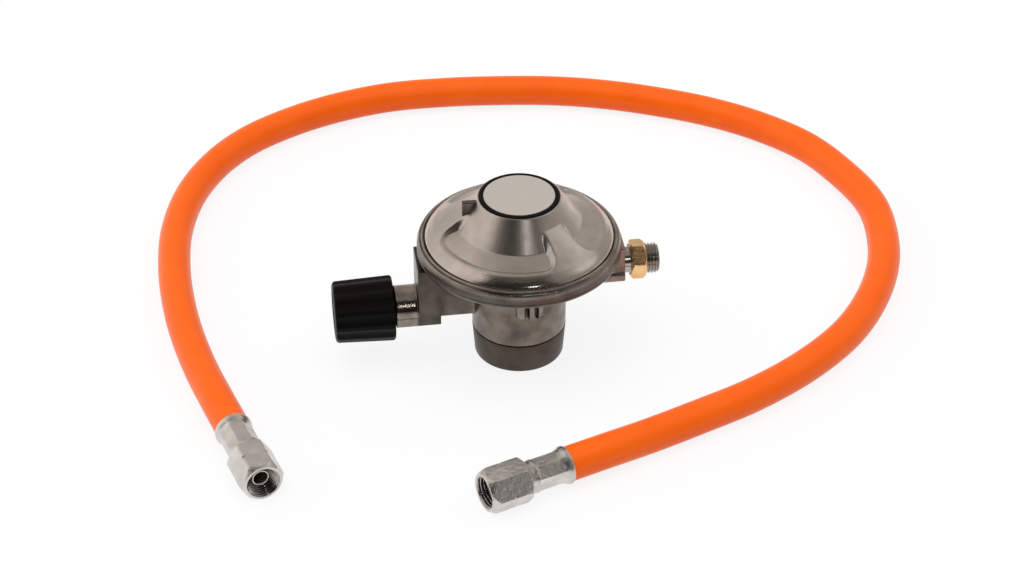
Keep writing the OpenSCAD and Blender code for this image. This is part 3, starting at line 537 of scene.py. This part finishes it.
# ---------------------------------------------------------------- rim and rib, in mm
RIM_LINE = [
    (41.2, 50.9), (42.2, 51.15), (43.0, 51.6), (43.4, 52.4), (43.4, 53.0), (43.25, 53.2),
    (43.25, 53.4), (43.4, 53.6), (43.38, 55.4), (43.2, 56.6), (42.85, 57.5), (42.3, 58.2),
    (41.7, 58.65), (41.4, 58.7), (41.25, 58.95), (40.95, 59.0), (40.72, 58.9), (40.62, 58.6),
    (40.62, 58.3), (41.3, 58.2), (41.42, 57.4), (41.8, 57.0)]
RIM_ROUND = 0.25
RIM_SIDES = 360
# The rib's section is given across it and out from the cup's wall; ROOT is inside the wall
RIB_FOOT_Z, RIB_TOP_Z = 29.2, 44.7
RIB_HALF_W, RIB_PROUD, RIB_EDGE, RIB_ROOT = 6.1, 2.4, -0.95, -3.0
RIB_SLOTS = [(-2.75, -0.95), (1.4, 3.2)]
RIB_SLOT_FLOOR, RIB_SLOT_BEVEL = 0.25, 0.3
# A face this little outside a slot's sides and this far under the rib's front is in the slot and
# gets its painted shade
SLOT_SHADE_SLACK, SLOT_SHADE_UNDER = 0.05, 0.25
# Its rounded foot, as (height over the foot, how far the section shrinks)
RIB_FOOT_LINE = [(0, 1.2), (0.25, 0.7), (0.7, 0.28), (1.3, 0.0)]
RIB_LOBE_STEPS = 15


def make_rim():
    rings = [upright(r, z, around(RIM_SIDES)) for r, z in rounded_line(RIM_LINE, RIM_ROUND)]
    add_piece("casting_rim", ring_mesh("casting_rim", rings), "regulator", "zinc_casting", 40,
              finish=RIM_METAL)


def rib_front(u):
    """How far the rib stands out at distance u across it."""
    return RIB_EDGE + (RIB_PROUD - RIB_EDGE) * math.sqrt(max(0, 1 - (u / RIB_HALF_W) ** 2))


def rib_outline():
    """The rib's section: three lobes with a slot between each two, and a flat back."""
    stops = [-RIB_HALF_W] + [u for slot in RIB_SLOTS for u in slot] + [RIB_HALF_W]
    outline = []
    for start, end in zip(stops[::2], stops[1::2]):
        lobe = [(u, rib_front(u)) for u in np.linspace(start, end, RIB_LOBE_STEPS)]
        if start > -RIB_HALF_W:
            lobe = [(start, RIB_SLOT_FLOOR), (start, rib_front(start) - RIB_SLOT_BEVEL)] + lobe[1:]
        if end < RIB_HALF_W:
            lobe = lobe[:-1] + [(end, rib_front(end) - RIB_SLOT_BEVEL), (end, RIB_SLOT_FLOOR)]
        outline += lobe
    return np.array(outline + [(RIB_HALF_W, RIB_ROOT), (-RIB_HALF_W, RIB_ROOT)])


def make_cup_rib():
    """The half-round rib on the front of the cup, with its two upright slots."""
    turn = math.radians(RIB_TURN)
    out = np.array([math.cos(turn), math.sin(turn)])
    side = np.array([-math.sin(turn), math.cos(turn)])
    outline = rib_outline()
    rings = []
    for height, inset in [(RIB_FOOT_Z + h, i) for h, i in RIB_FOOT_LINE] + [(RIB_TOP_Z, 0.0)]:
        u, w = outline[:, 0] * (1 - inset / RIB_HALF_W), outline[:, 1] - inset
        flat = (CUP_R + w)[:, None] * out + u[:, None] * side
        rings.append(np.column_stack([flat, np.full(len(flat), height)]))
    piece = add_piece("cup_rib", ring_mesh("cup_rib", rings, joined=False), "regulator",
                      "zinc_casting", 40, finish=RIB_HIGHLIGHT_METAL)
    # The slots are painted dark as shade in their recesses, and the lobes between them painted
    # lighter as a highlight
    piece.data.materials.append(SLOT_SHADE_METAL)
    for face in piece.data.polygons:
        spot = np.array(face.center)[:2] / MM
        along, depth = spot @ side, spot @ out - CUP_R
        in_slot_shade = any(a - SLOT_SHADE_SLACK < along < b + SLOT_SHADE_SLACK for a, b in RIB_SLOTS)
        face.material_index = int(in_slot_shade and depth < rib_front(along) - SLOT_SHADE_UNDER)


# ---------------------------------------------------------------- cover, cap, collar, in mm
# Lines of the cover over its foot, as (r, z): the rim of the neck, the ridges, a pocket, the edge
NECK_RIM = [(14.62, 19.9), (17.09, 19.9), (17.1, 20.3), (17.2, 20.48), (17.36, 20.48)]
WEB_LINE = [(17.5, 20.38), (21.3, 15.3), (26.4, 11.9), (32, 8.1), (36.4, 4.95), (38.4, 3.2)]
POCKET_LINE = [(17.5, 20.38), (21.3, 15.3), (26.5, 8.35), (30.6, 6.6), (36.4, 4.1), (38.4, 3.2)]
COVER_EDGE = [(38.9, 2.72), (39.35, 2.28), (39.7, 1.85), (39.95, 1.4), (40.12, 0.9), (40.18, 0.15)]
COVER_UNDER = [(41.3, 0.12), (41.33, 0.02), (36.0, 0.02), (33, 2.0), (24, 4.6), (19, 7),
               (15, 11), (14.6, 17.8)]
# The pockets, as (start, span) in degrees
POCKETS = [(186, 104), (316, 92), (68, 80)]
POCKET_CORNER, POCKET_OUT_R, POCKET_EASE = 6.0, 35.4, 2.0
COVER_SIDES, COVER_ROWS = 900, 96
LINE_STEPS, LINE_EASE = 2000, 45
CAP_LINE = [
    (14.0, 77.72), (16.8, 77.72), (17.04, 77.9), (17.04, 78.4), (16.9, 78.68), (16.5, 78.8),
    (16.0, 78.8), (15.5, 78.8), (15.14, 78.75), (15.03, 78.6), (15.03, 78.3), (14.0, 78.3)]
CAP_ROUND = 0.15
COLLAR_LINE = [
    (16.3, 0.3), (16.3, 4.85), (14.91, 11.8), (14.91, 14.0), (19.8, 14.0), (20.08, 13.88),
    (20.2, 13.6), (19.35, 2.3), (19.27, 0.8), (19.1, 0.42), (18.7, 0.3)]
BAND_SIDES = 240
LUG_BEVEL = 0.35


def soft_line(line, radii):
    """Heights along a line of (r, z) points, eased over its corners."""
    r, z = np.array(line).T
    fine = np.linspace(r[0], r[-1], LINE_STEPS)
    kernel = np.hanning(LINE_EASE)
    kernel /= kernel.sum()
    padded = np.pad(np.interp(fine, r, z), LINE_EASE // 2, mode="reflect", reflect_type="odd")
    return np.interp(radii, fine, np.convolve(padded, kernel, "valid"))[:, None]


def pocket_depth(radii, angles):
    """How far inside a pocket each point is, in mm: below 0 outside."""
    best = np.full((len(radii), len(angles)), -99.0)
    r, a, c = radii[:, None], np.degrees(angles)[None, :], POCKET_CORNER
    for start, span in POCKETS:
        from_start = (a - start + 180) % 360 - 180
        from_end = (start + span - a + 180) % 360 - 180
        mid = (a - start - span / 2 + 180) % 360 - 180
        side = np.where(mid < 0, from_start, from_end)
        side = r * np.sin(np.radians(np.clip(side, -60, 90)))
        out = POCKET_OUT_R - r
        inside = np.where((side < c) & (out < c), c - np.hypot(c - side, c - out),
                          np.minimum(side, out))
        best = np.maximum(best, inside)
    return best


def make_cover_dome():
    angles = around(COVER_SIDES)
    radii = np.linspace(WEB_LINE[0][0], WEB_LINE[-1][0], COVER_ROWS)
    web, pocket = soft_line(WEB_LINE, radii), soft_line(POCKET_LINE, radii)
    share = smooth_step(pocket_depth(radii, angles), -POCKET_EASE / 2, POCKET_EASE)
    height = web + (np.minimum(pocket, web) - web) * share
    rows = NECK_RIM + list(zip(radii, height)) + COVER_EDGE + COVER_UNDER
    rings = [upright(r, COVER_FOOT_Z + h, angles) for r, h in rows]
    add_piece("cover_dome", ring_mesh("cover_dome", rings), "regulator", "zinc_cover", 50,
              ["cover"])


def make_cap_band():
    rings = [upright(r, z, around(BAND_SIDES)) for r, z in rounded_line(CAP_LINE, CAP_ROUND)]
    add_piece("cap_band", ring_mesh("cap_band", rings), "regulator", "black_plastic", 45,
              ["cap_ring"])


def make_collar_band():
    rings = [upright(r, z, around(BAND_SIDES)) for r, z in COLLAR_LINE]
    add_piece("collar_band", ring_mesh("collar_band", rings), "collar", "dark_collar", 40,
              ["locking_collar"])


def make_vent_lug():
    """The rib on the cover: its CAD box with rounded edges."""
    low, high = ([c / MM for c in corner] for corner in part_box("vent_cap"))
    work = bmesh.new()
    bmesh.ops.create_cube(work, size=1)
    for v in work.verts:
        v.co = Vector([(high[i] if v.co[i] > 0 else low[i]) for i in range(3)])
    bmesh.ops.bevel(work, geom=work.edges[:], offset=LUG_BEVEL, segments=3, profile=0.5,
                    affect="EDGES")
    bmesh.ops.scale(work, vec=(MM, MM, MM), verts=work.verts)
    mesh = bpy.data.meshes.new("vent_lug")
    work.to_mesh(mesh)
    work.free()
    add_piece("vent_lug", mesh, "regulator", "zinc_casting", 40, ["vent_cap"])


# ---------------------------------------------------------------- knob, outlet, brass nut, in mm
KNOB_SIDES = 288
KNOB_ROUND, KNOB_LIP, KNOB_LIP_CURVE, FLUTE_EASE = 1.6, 1.0, 0.8, 0.25
# The knob's end face and its hollow back, as (r, distance from the end face)
KNOB_FACE = [(2.0, 0.35), (8.6, 0.35), (9.2, 0.0), (KNOB_OUT_R - KNOB_ROUND, 0.0)]
KNOB_BACK = [(8.4, KNOB_LEN), (8.4, KNOB_LEN - 3.5), (3.0, KNOB_LEN - 3.5)]
KNOB_STEPS = np.concatenate([
    np.linspace(0, KNOB_ROUND, 7)[1:], np.linspace(2.2, KNOB_LEN - 1.4, 24),
    np.linspace(KNOB_LEN - KNOB_LIP, KNOB_LEN, 5)])
STUB_SIDES, STUB_STEP = 120, 0.1
# The thread starts this far before THREAD_START_X and has its full depth after that much
RUN_IN, RUN_IN_LEN = 0.6, 0.9
STUB_CHAMFER, BORE_CHAMFER, STUB_END_R = 1.0, 0.35, 5.55
NUT_SIDES, NUT_BACK_SLOPE, NUT_EASE = 240, 1.1, 0.25
BRASS_CORNER, BRASS_CHAMFER_R, BRASS_SLOPE = 0.35, 7.3, 1.75
BRASS_STEPS = np.concatenate([
    np.linspace(0, 1.2, 9), np.linspace(1.6, BRASS_T - 1.6, 5),
    np.linspace(BRASS_T - 1.2, BRASS_T, 9)])


def make_knob():
    angles = around(KNOB_SIDES)
    pitch = TAU / KNOB_FLUTES
    near = np.abs((angles % pitch) - pitch / 2)
    origin = (KNOB_X, 0, SPINDLE_Z)
    rings = [turned(origin, 0.0, r, s, angles) for r, s in KNOB_FACE]
    for s in KNOB_STEPS:
        body = KNOB_OUT_R + (KNOB_IN_R - KNOB_OUT_R) * s / KNOB_LEN
        centre = body - FLUTE_DEPTH + FLUTE_R
        if s < KNOB_ROUND:
            body += math.sqrt(KNOB_ROUND ** 2 - (KNOB_ROUND - s) ** 2) - KNOB_ROUND
        if s > KNOB_LEN - KNOB_LIP:
            body -= KNOB_LIP_CURVE * (s - KNOB_LEN + KNOB_LIP) ** 2
        chord = np.sqrt(np.maximum(FLUTE_R ** 2 - (centre * np.sin(near)) ** 2, 0))
        groove = np.where(centre * np.sin(near) < FLUTE_R, centre * np.cos(near) - chord, 99)
        radius = smooth_min(np.full_like(angles, body), groove, FLUTE_EASE)
        rings.append(turned(origin, 0.0, radius, s, angles))
    rings += [turned(origin, 0.0, r, s, angles) for r, s in KNOB_BACK]
    add_piece("grip_knob", ring_mesh("grip_knob", rings, joined=False), "knob_shaft",
              "black_plastic", 35, ["knob"])


def make_outlet_stub():
    angles = around(STUB_SIDES)
    thread = THREAD_START_X - RUN_IN
    rows = [(OUTLET_BORE_R, STUB_X - 2), (STUB_NECK_R, STUB_X - 2), (STUB_NECK_R, STUB_X - 1),
            (STUB_NECK_R, STUB_X + 2), (STUB_NECK_R, THREAD_START_X - 0.7)]
    for x in np.arange(thread, STUB_END_X - 0.001, STUB_STEP):
        wave = thread_wave(x / THREAD_PITCH + angles / TAU)
        lead_in = min(max((x - THREAD_START_X + RUN_IN) / RUN_IN_LEN, 0), 1)
        radius = THREAD_CORE_R + (THREAD_R - THREAD_CORE_R) * wave * lead_in
        rows.append((np.minimum(radius, THREAD_R - STUB_CHAMFER + (STUB_END_X - x)), x))
    rows += [(STUB_END_R, STUB_END_X), (OUTLET_BORE_R + BORE_CHAMFER, STUB_END_X),
             (OUTLET_BORE_R, STUB_END_X - BORE_CHAMFER)]
    rings = [turned((0, 0, OUTLET_Z), 0.0, r, x, angles) for r, x in rows]
    add_piece("outlet_stub", ring_mesh("outlet_stub", rings), "regulator", "zinc_casting", 38,
              finish=THREAD_METAL_AND_HOLE_SHADE)


def nut_outline(angles, af, s, length, corner, chamfer_r, turn, slope):
    """Radius of a hexagon nut's outside at distance s along it, with both ends chamfered."""
    ends = chamfer_r + min(slope * s, NUT_BACK_SLOPE * (length - s))
    return smooth_min(hex_radius(angles, af, corner, turn), np.full_like(angles, ends), NUT_EASE)


def make_brass_nut():
    angles = around(NUT_SIDES)
    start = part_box("outlet_lock_nut")[0][0] / MM
    turn = math.radians(BRASS_TURN + 30)
    rows = [(nut_outline(angles, BRASS_AF, s, BRASS_T, BRASS_CORNER, BRASS_CHAMFER_R, turn,
                         BRASS_SLOPE), s) for s in BRASS_STEPS]
    rows = [(THREAD_R + 0.1, 0)] + rows + [(THREAD_R + 0.1, BRASS_T)]
    rings = [turned((0, 0, OUTLET_Z), 0.0, r, start + s, angles) for r, s in rows]
    add_piece("brass_nut", ring_mesh("brass_nut", rings), "lock_nut", "brass", 35,
              ["outlet_lock_nut"])


# ---------------------------------------------------------------- fittings of the hose, in mm
CRIMP_LINE = [
    # depth from the hose mouth, then radius and how octagonal the section is, 0 to 1
    (0.0, 7.5, 0.0), (-0.05, 7.7, 0.0), (-0.35, 7.92, 0.0), (-0.9, 8.0, 0.0),
    (-1.6, 7.94, 0.0), (-2.4, 7.72, 0.1), (-3.4, 7.38, 0.4), (-4.6, 7.12, 0.75),
    (-6.0, 6.95, 1.0), (-14.5, 6.9, 1.0), (-15.1, 6.95, 0.7), (-15.6, 7.08, 0.2),
    (-16.0, 7.08, 0.0), (-16.5, 6.88, 0.0), (-17.0, 6.76, 0.0), (-17.6, 6.74, 0.0),
    (-18.4, 6.78, 0.0), (-18.75, 6.66, 0.0), (-18.9, 6.3, 0.0)]
CRIMP_BORE = [
    (SHANK_R + 0.02, -FERRULE_LEN), (SHANK_R + 0.02, -FERRULE_LEN + 1.5),
    (HOSE_CRIMP_R + 0.05, -FERRULE_LEN + 1.5), (HOSE_CRIMP_R + 0.05, -3.8),
    (HOSE_R + 0.05, -1.8), (HOSE_R + 0.05, -0.1), (HOSE_R + 0.1, 0.0)]
CRIMP_ROWS, CRIMP_CORNER_R = 96, 7.0
# The fine ridges that the crimping jaws leave on the octagon's corners
RIDGE, RIDGE_WIDTH = 0.12, 0.035
NUT_MOUTH = -FERRULE_LEN - NUT_GAP - NUT_LEN
NUT_CORNER, NUT_CHAMFER_R, NUT_SLOPE, NOTCH_EASE = 1.2, 7.95, 0.6, 0.12
NUT_STEPS = np.concatenate([
    np.linspace(0, 3.6, 20), np.linspace(4, NUT_LEN / 2 - 1.6, 6),
    np.linspace(NUT_LEN / 2 - 1.4, NUT_LEN / 2 + 1.4, 29),
    np.linspace(NUT_LEN / 2 + 1.6, NUT_LEN - 2, 6), np.linspace(NUT_LEN - 1.6, NUT_LEN, 12)])
NUT_BORE = [
    (SHANK_R + 0.06, NUT_LEN), (SHANK_R + 0.06, NUT_LEN - NUT_BACK_T),
    (THREAD_R + 0.2, NUT_LEN - NUT_BACK_T), (THREAD_R + 0.2, NUT_THREAD_LEN + 0.1)]
THREAD_STEP, VALLEY, MOUTH_CHAMFER, MOUTH_R = 0.12, 0.3, 0.5, THREAD_R + 0.6
# The thread faces painted darker as shade inside the nut's hole lie within this radius and start
# this far behind the mouth
HOLE_SHADE_REACH, HOLE_SHADE_FROM = THREAD_R + 0.4, 0.15
# The sealing nose of the nipple: radius and depth behind the nut's mouth
NOSE_LINE = [(2.6, 10.4), (4.4, 10.4), (4.2, 9.0), (3.75, 4.6), (3.65, 3.8), (3.5, 3.6),
             (3.1, 3.6), (2.95, 3.8), (2.9, 4.2), (2.6, 6.0)]
NOSE_SIDES = 72


def hose_end(side):
    """Where the hose ends, in mm, and the way it heads from there."""
    end, heading = (LEFT_END, LEFT_HEADING) if side == "left" else (RIGHT_END, RIGHT_HEADING)
    return [c / MM for c in end], heading


def make_crimp(side):
    origin, heading = hose_end(side)
    angles = around(NUT_SIDES)
    depth_line, radius_line, octagon_line = np.array(CRIMP_LINE).T
    corner = np.abs((angles + math.pi / 8) % (math.pi / 4) - math.pi / 8)
    ridge = RIDGE * np.exp(-((math.pi / 8 - corner) / RIDGE_WIDTH) ** 2)
    flat = np.minimum(FERRULE_AF / 2 / np.cos(corner), CRIMP_CORNER_R) + ridge
    rings = []
    for s in np.linspace(0, -FERRULE_LEN, CRIMP_ROWS):
        r, o = (np.interp(-s, -depth_line, line) for line in (radius_line, octagon_line))
        rings.append(turned(origin, heading, r * (1 - o) + flat * o, s, angles))
    rings += [turned(origin, heading, r, s, angles) for r, s in CRIMP_BORE]
    name = "crimp_" + side
    return add_piece(name, ring_mesh(name, rings), "hose", "plated_steel", 38,
                     ["ferrule_" + side])


def make_union_nut(side):
    origin, heading = hose_end(side)
    angles = around(NUT_SIDES)
    rows = []
    for s in NUT_STEPS:
        radius = nut_outline(angles, NUT_AF, s, NUT_LEN, NUT_CORNER, NUT_CHAMFER_R, 0.0,
                             NUT_SLOPE)
        notch = np.full_like(angles, NUT_NOTCH_R + abs(s - NUT_LEN / 2))
        rows.append((smooth_min(radius, notch, NOTCH_EASE), s))
    rows += NUT_BORE
    for s in np.arange(NUT_THREAD_LEN, 0.05, -THREAD_STEP):
        wave = thread_wave(s / THREAD_PITCH + angles / TAU)
        radius = THREAD_R + VALLEY - (THREAD_R - THREAD_CORE_R) * wave
        rows.append((np.maximum(radius, THREAD_R + MOUTH_CHAMFER - s), s))
    rows.append((MOUTH_R, 0))
    rings = [turned(origin, heading, r, NUT_MOUTH + s, angles) for r, s in rows]
    name = "union_" + side
    piece = add_piece(name, ring_mesh(name, rings), "nut_" + side, "plated_steel", 38,
                      ["union_nut_" + side])
    # The thread inside the nut gets the darker cut metal as painted shade in its hole
    piece.data.materials.append(THREAD_METAL_AND_HOLE_SHADE)
    for face in piece.data.polygons:
        off = face.center / MM - Vector(origin)
        along = off.x * math.cos(heading) + off.y * math.sin(heading)
        reach = math.sqrt(max(off.length_squared - along ** 2, 0))
        inside = reach < HOLE_SHADE_REACH and HOLE_SHADE_FROM < along - NUT_MOUTH < NUT_THREAD_LEN
        face.material_index = int(inside)
    return piece


def make_nipple_nose(side):
    origin, heading = hose_end(side)
    rings = [turned(origin, heading, r, NUT_MOUTH + s, around(NOSE_SIDES)) for r, s in NOSE_LINE]
    name = "nose_" + side
    return add_piece(name, ring_mesh(name, rings), "hose", "plated_steel", 38)


# ---------------------------------------------------------------- hose
HOSE_SIDES = 48
HOSE_RING_GAP = 0.0026
CURVE_STEPS = 60
# Distances from the hose mouth at which the route is straight, in mm: minus is in the ferrule
STRAIGHT_RUN = (-HOSE_TAIL, -8, 0, 10, 20)


def smooth_path(points, gap):
    """Catmull-Rom line through the points, cut into even steps of about gap."""
    p = np.array(points)
    p = np.vstack([2 * p[0] - p[1], p, 2 * p[-1] - p[-2]])
    fine = []
    for i in range(1, len(p) - 2):
        a, b, c, d = p[i - 1:i + 3]
        ts = np.linspace(0, 1, CURVE_STEPS, endpoint=False)[:, None]
        fine.append(0.5 * (2 * b + (c - a) * ts + (2 * a - 5 * b + 4 * c - d) * ts ** 2
                           + (3 * b - 3 * c + d - a) * ts ** 3))
    fine = np.vstack(fine + [p[-2][None]])
    run = np.concatenate([[0], np.cumsum(np.linalg.norm(np.diff(fine, axis=0), axis=1))])
    even = np.linspace(0, run[-1], int(run[-1] / gap) + 1)
    return np.stack([np.interp(even, run, fine[:, k]) for k in range(3)], 1), even


def straight_run(end, heading):
    c, s = math.cos(heading) * MM, math.sin(heading) * MM
    return [(end[0] + d * c, end[1] + d * s, end[2]) for d in STRAIGHT_RUN]


def make_hose_tube():
    floor = [(x, y, HOSE_Z) for x, y in HOSE_ROUTE]
    line, run = smooth_path(straight_run(LEFT_END, LEFT_HEADING) + floor
                            + straight_run(RIGHT_END, RIGHT_HEADING)[::-1], HOSE_RING_GAP)
    near_end = np.minimum(run, run[-1] - run) / MM - HOSE_TAIL
    radius = np.interp(near_end, [-THIN_TO, -THIN_FROM], [HOSE_CRIMP_R, HOSE_R])
    ahead = np.gradient(line, axis=0)
    ahead /= np.linalg.norm(ahead, axis=1)[:, None]
    side = np.cross(ahead, (0, 0, 1))
    side /= np.linalg.norm(side, axis=1)[:, None]
    above = np.cross(side, ahead)
    angles = around(HOSE_SIDES)[:, None]
    rings = [line[k] / MM + radius[k] * (np.cos(angles) * side[k] + np.sin(angles) * above[k])
             for k in range(len(line))]
    piece = add_piece("gas_hose", ring_mesh("gas_hose", rings, joined=False), "hose",
                      "hose_orange", 60, ["hose_tube"])


# ---------------------------------------------------------------- floor and light
FLOOR_SIZE = 6.0
FLOOR_TONE = 0.92
FLOOR_GLOW = 0.86
# The studio walls as (direction from the camera's side, level): minus is left, 180 is behind
WALLS = [(-180, 0.58), (-80, 0.95), (-63, 0.85), (-43, 0.03), (38, 0.03), (58, 0.35),
         (110, 0.45), (180, 0.58)]
CEILING = 0.42
# Where the ceiling starts and is full, as the height of a direction of length 1
CEILING_EDGE = (0.86, 0.96)
STUDIO_TINT = (1.0, 0.955, 0.905, 1)
# Far soft boxes: name, direction from +X, elevation and width in degrees, power, mirrored
SUNS = [("lamp", -80, 38, 6, 0.10, True), ("top", -100, 78, 60, 1.75, False),
        ("right", 7, 46, 36, 0.12, True), ("left", 165, 34, 50, 0.3, False)]


def make_floor():
    """A white floor: its own white for what looks at it, with the soft shadows kept in part."""
    mesh = bpy.data.meshes.new("floor")
    s = FLOOR_SIZE
    mesh.from_pydata([(-s, -s, 0), (s, -s, 0), (s, s, 0), (-s, s, 0)], [], [(0, 1, 2, 3)])
    floor = bpy.data.objects.new("floor", mesh)
    bpy.context.scene.collection.objects.link(floor)
    mat, tree, shader = new_material("floor_white", (FLOOR_TONE,) * 3, 0.0, 1.0, 0.0)
    path = tree.nodes.new("ShaderNodeLightPath").outputs
    seen = math_node(tree, "MAXIMUM", path["Is Camera Ray"], path["Is Glossy Ray"])
    seen = math_node(tree, "MAXIMUM", seen, path["Is Transmission Ray"])
    share = math_node(tree, "MULTIPLY", seen, FLOOR_GLOW)
    white = add_node(tree, "Emission", {})
    mixed = add_node(tree, "MixShader", {0: share, 1: shader.outputs[0], 2: white})
    tree.links.new(mixed, tree.nodes["Material Output"].inputs["Surface"])
    mesh.materials.append(mat)


def make_world():
    """A light tent: white walls to the left and behind, dark round the camera, pale above."""
    world = bpy.data.worlds.new("studio")
    bpy.context.scene.world = world
    world.use_nodes = True
    tree = world.node_tree
    place = add_node(tree, "TexCoord", {}, "Generated")
    turned_place = add_node(tree, "VectorRotate", {"Vector": place, "Angle": CAMERA_TURN},
                            "Vector", rotation_type="Z_AXIS")
    parts = tree.nodes.new("ShaderNodeSeparateXYZ")
    tree.links.new(turned_place, parts.inputs[0])
    parts = parts.outputs
    behind = math_node(tree, "MULTIPLY", parts["Y"], -1)
    direction = math_node(tree, "ARCTAN2", parts["X"], behind)
    turns = map_range(tree, direction, (-math.pi, math.pi))
    walls = grey_ramp(tree, turns, [(angle / 360 + 0.5, level) for angle, level in WALLS], "EASE")
    above = map_range(tree, parts["Z"], CEILING_EDGE, interpolation_type="SMOOTHSTEP")
    tent = mix_color(tree, above, walls, (CEILING, CEILING, CEILING, 1))
    tinted = mix_color(tree, 1, tent, STUDIO_TINT, "MULTIPLY")
    tree.links.new(tinted, tree.nodes["Background"].inputs["Color"])


def make_sun(name, azimuth, elevation, width, power, mirrored):
    data = bpy.data.lights.new(name, "SUN")
    data.energy = power
    data.angle = math.radians(width)
    lamp = bpy.data.objects.new(name, data)
    bpy.context.scene.collection.objects.link(lamp)
    a, e = math.radians(azimuth), math.radians(elevation)
    out = Vector((math.cos(a) * math.cos(e), math.sin(a) * math.cos(e), math.sin(e)))
    lamp.visible_glossy = mirrored
    lamp.rotation_mode = "QUATERNION"
    lamp.rotation_quaternion = (-out).to_track_quat("-Z", "Y")


make_camera()
bpy.context.scene.view_settings.view_transform = "Standard"
dress_cad_nodes()
crimps = [make_crimp("left"), make_crimp("right")]
noses = [make_nipple_nose("left"), make_nipple_nose("right")]
unions = [make_union_nut("left"), make_union_nut("right")]
make_hose_tube()
make_casting_body()
make_rim()
make_cup_rib()
make_cover_dome()
make_cap_band()
make_vent_lug()
make_collar_band()
make_knob()
make_outlet_stub()
make_brass_nut()
make_floor()
make_world()
for sun in SUNS:
    make_sun(*sun)
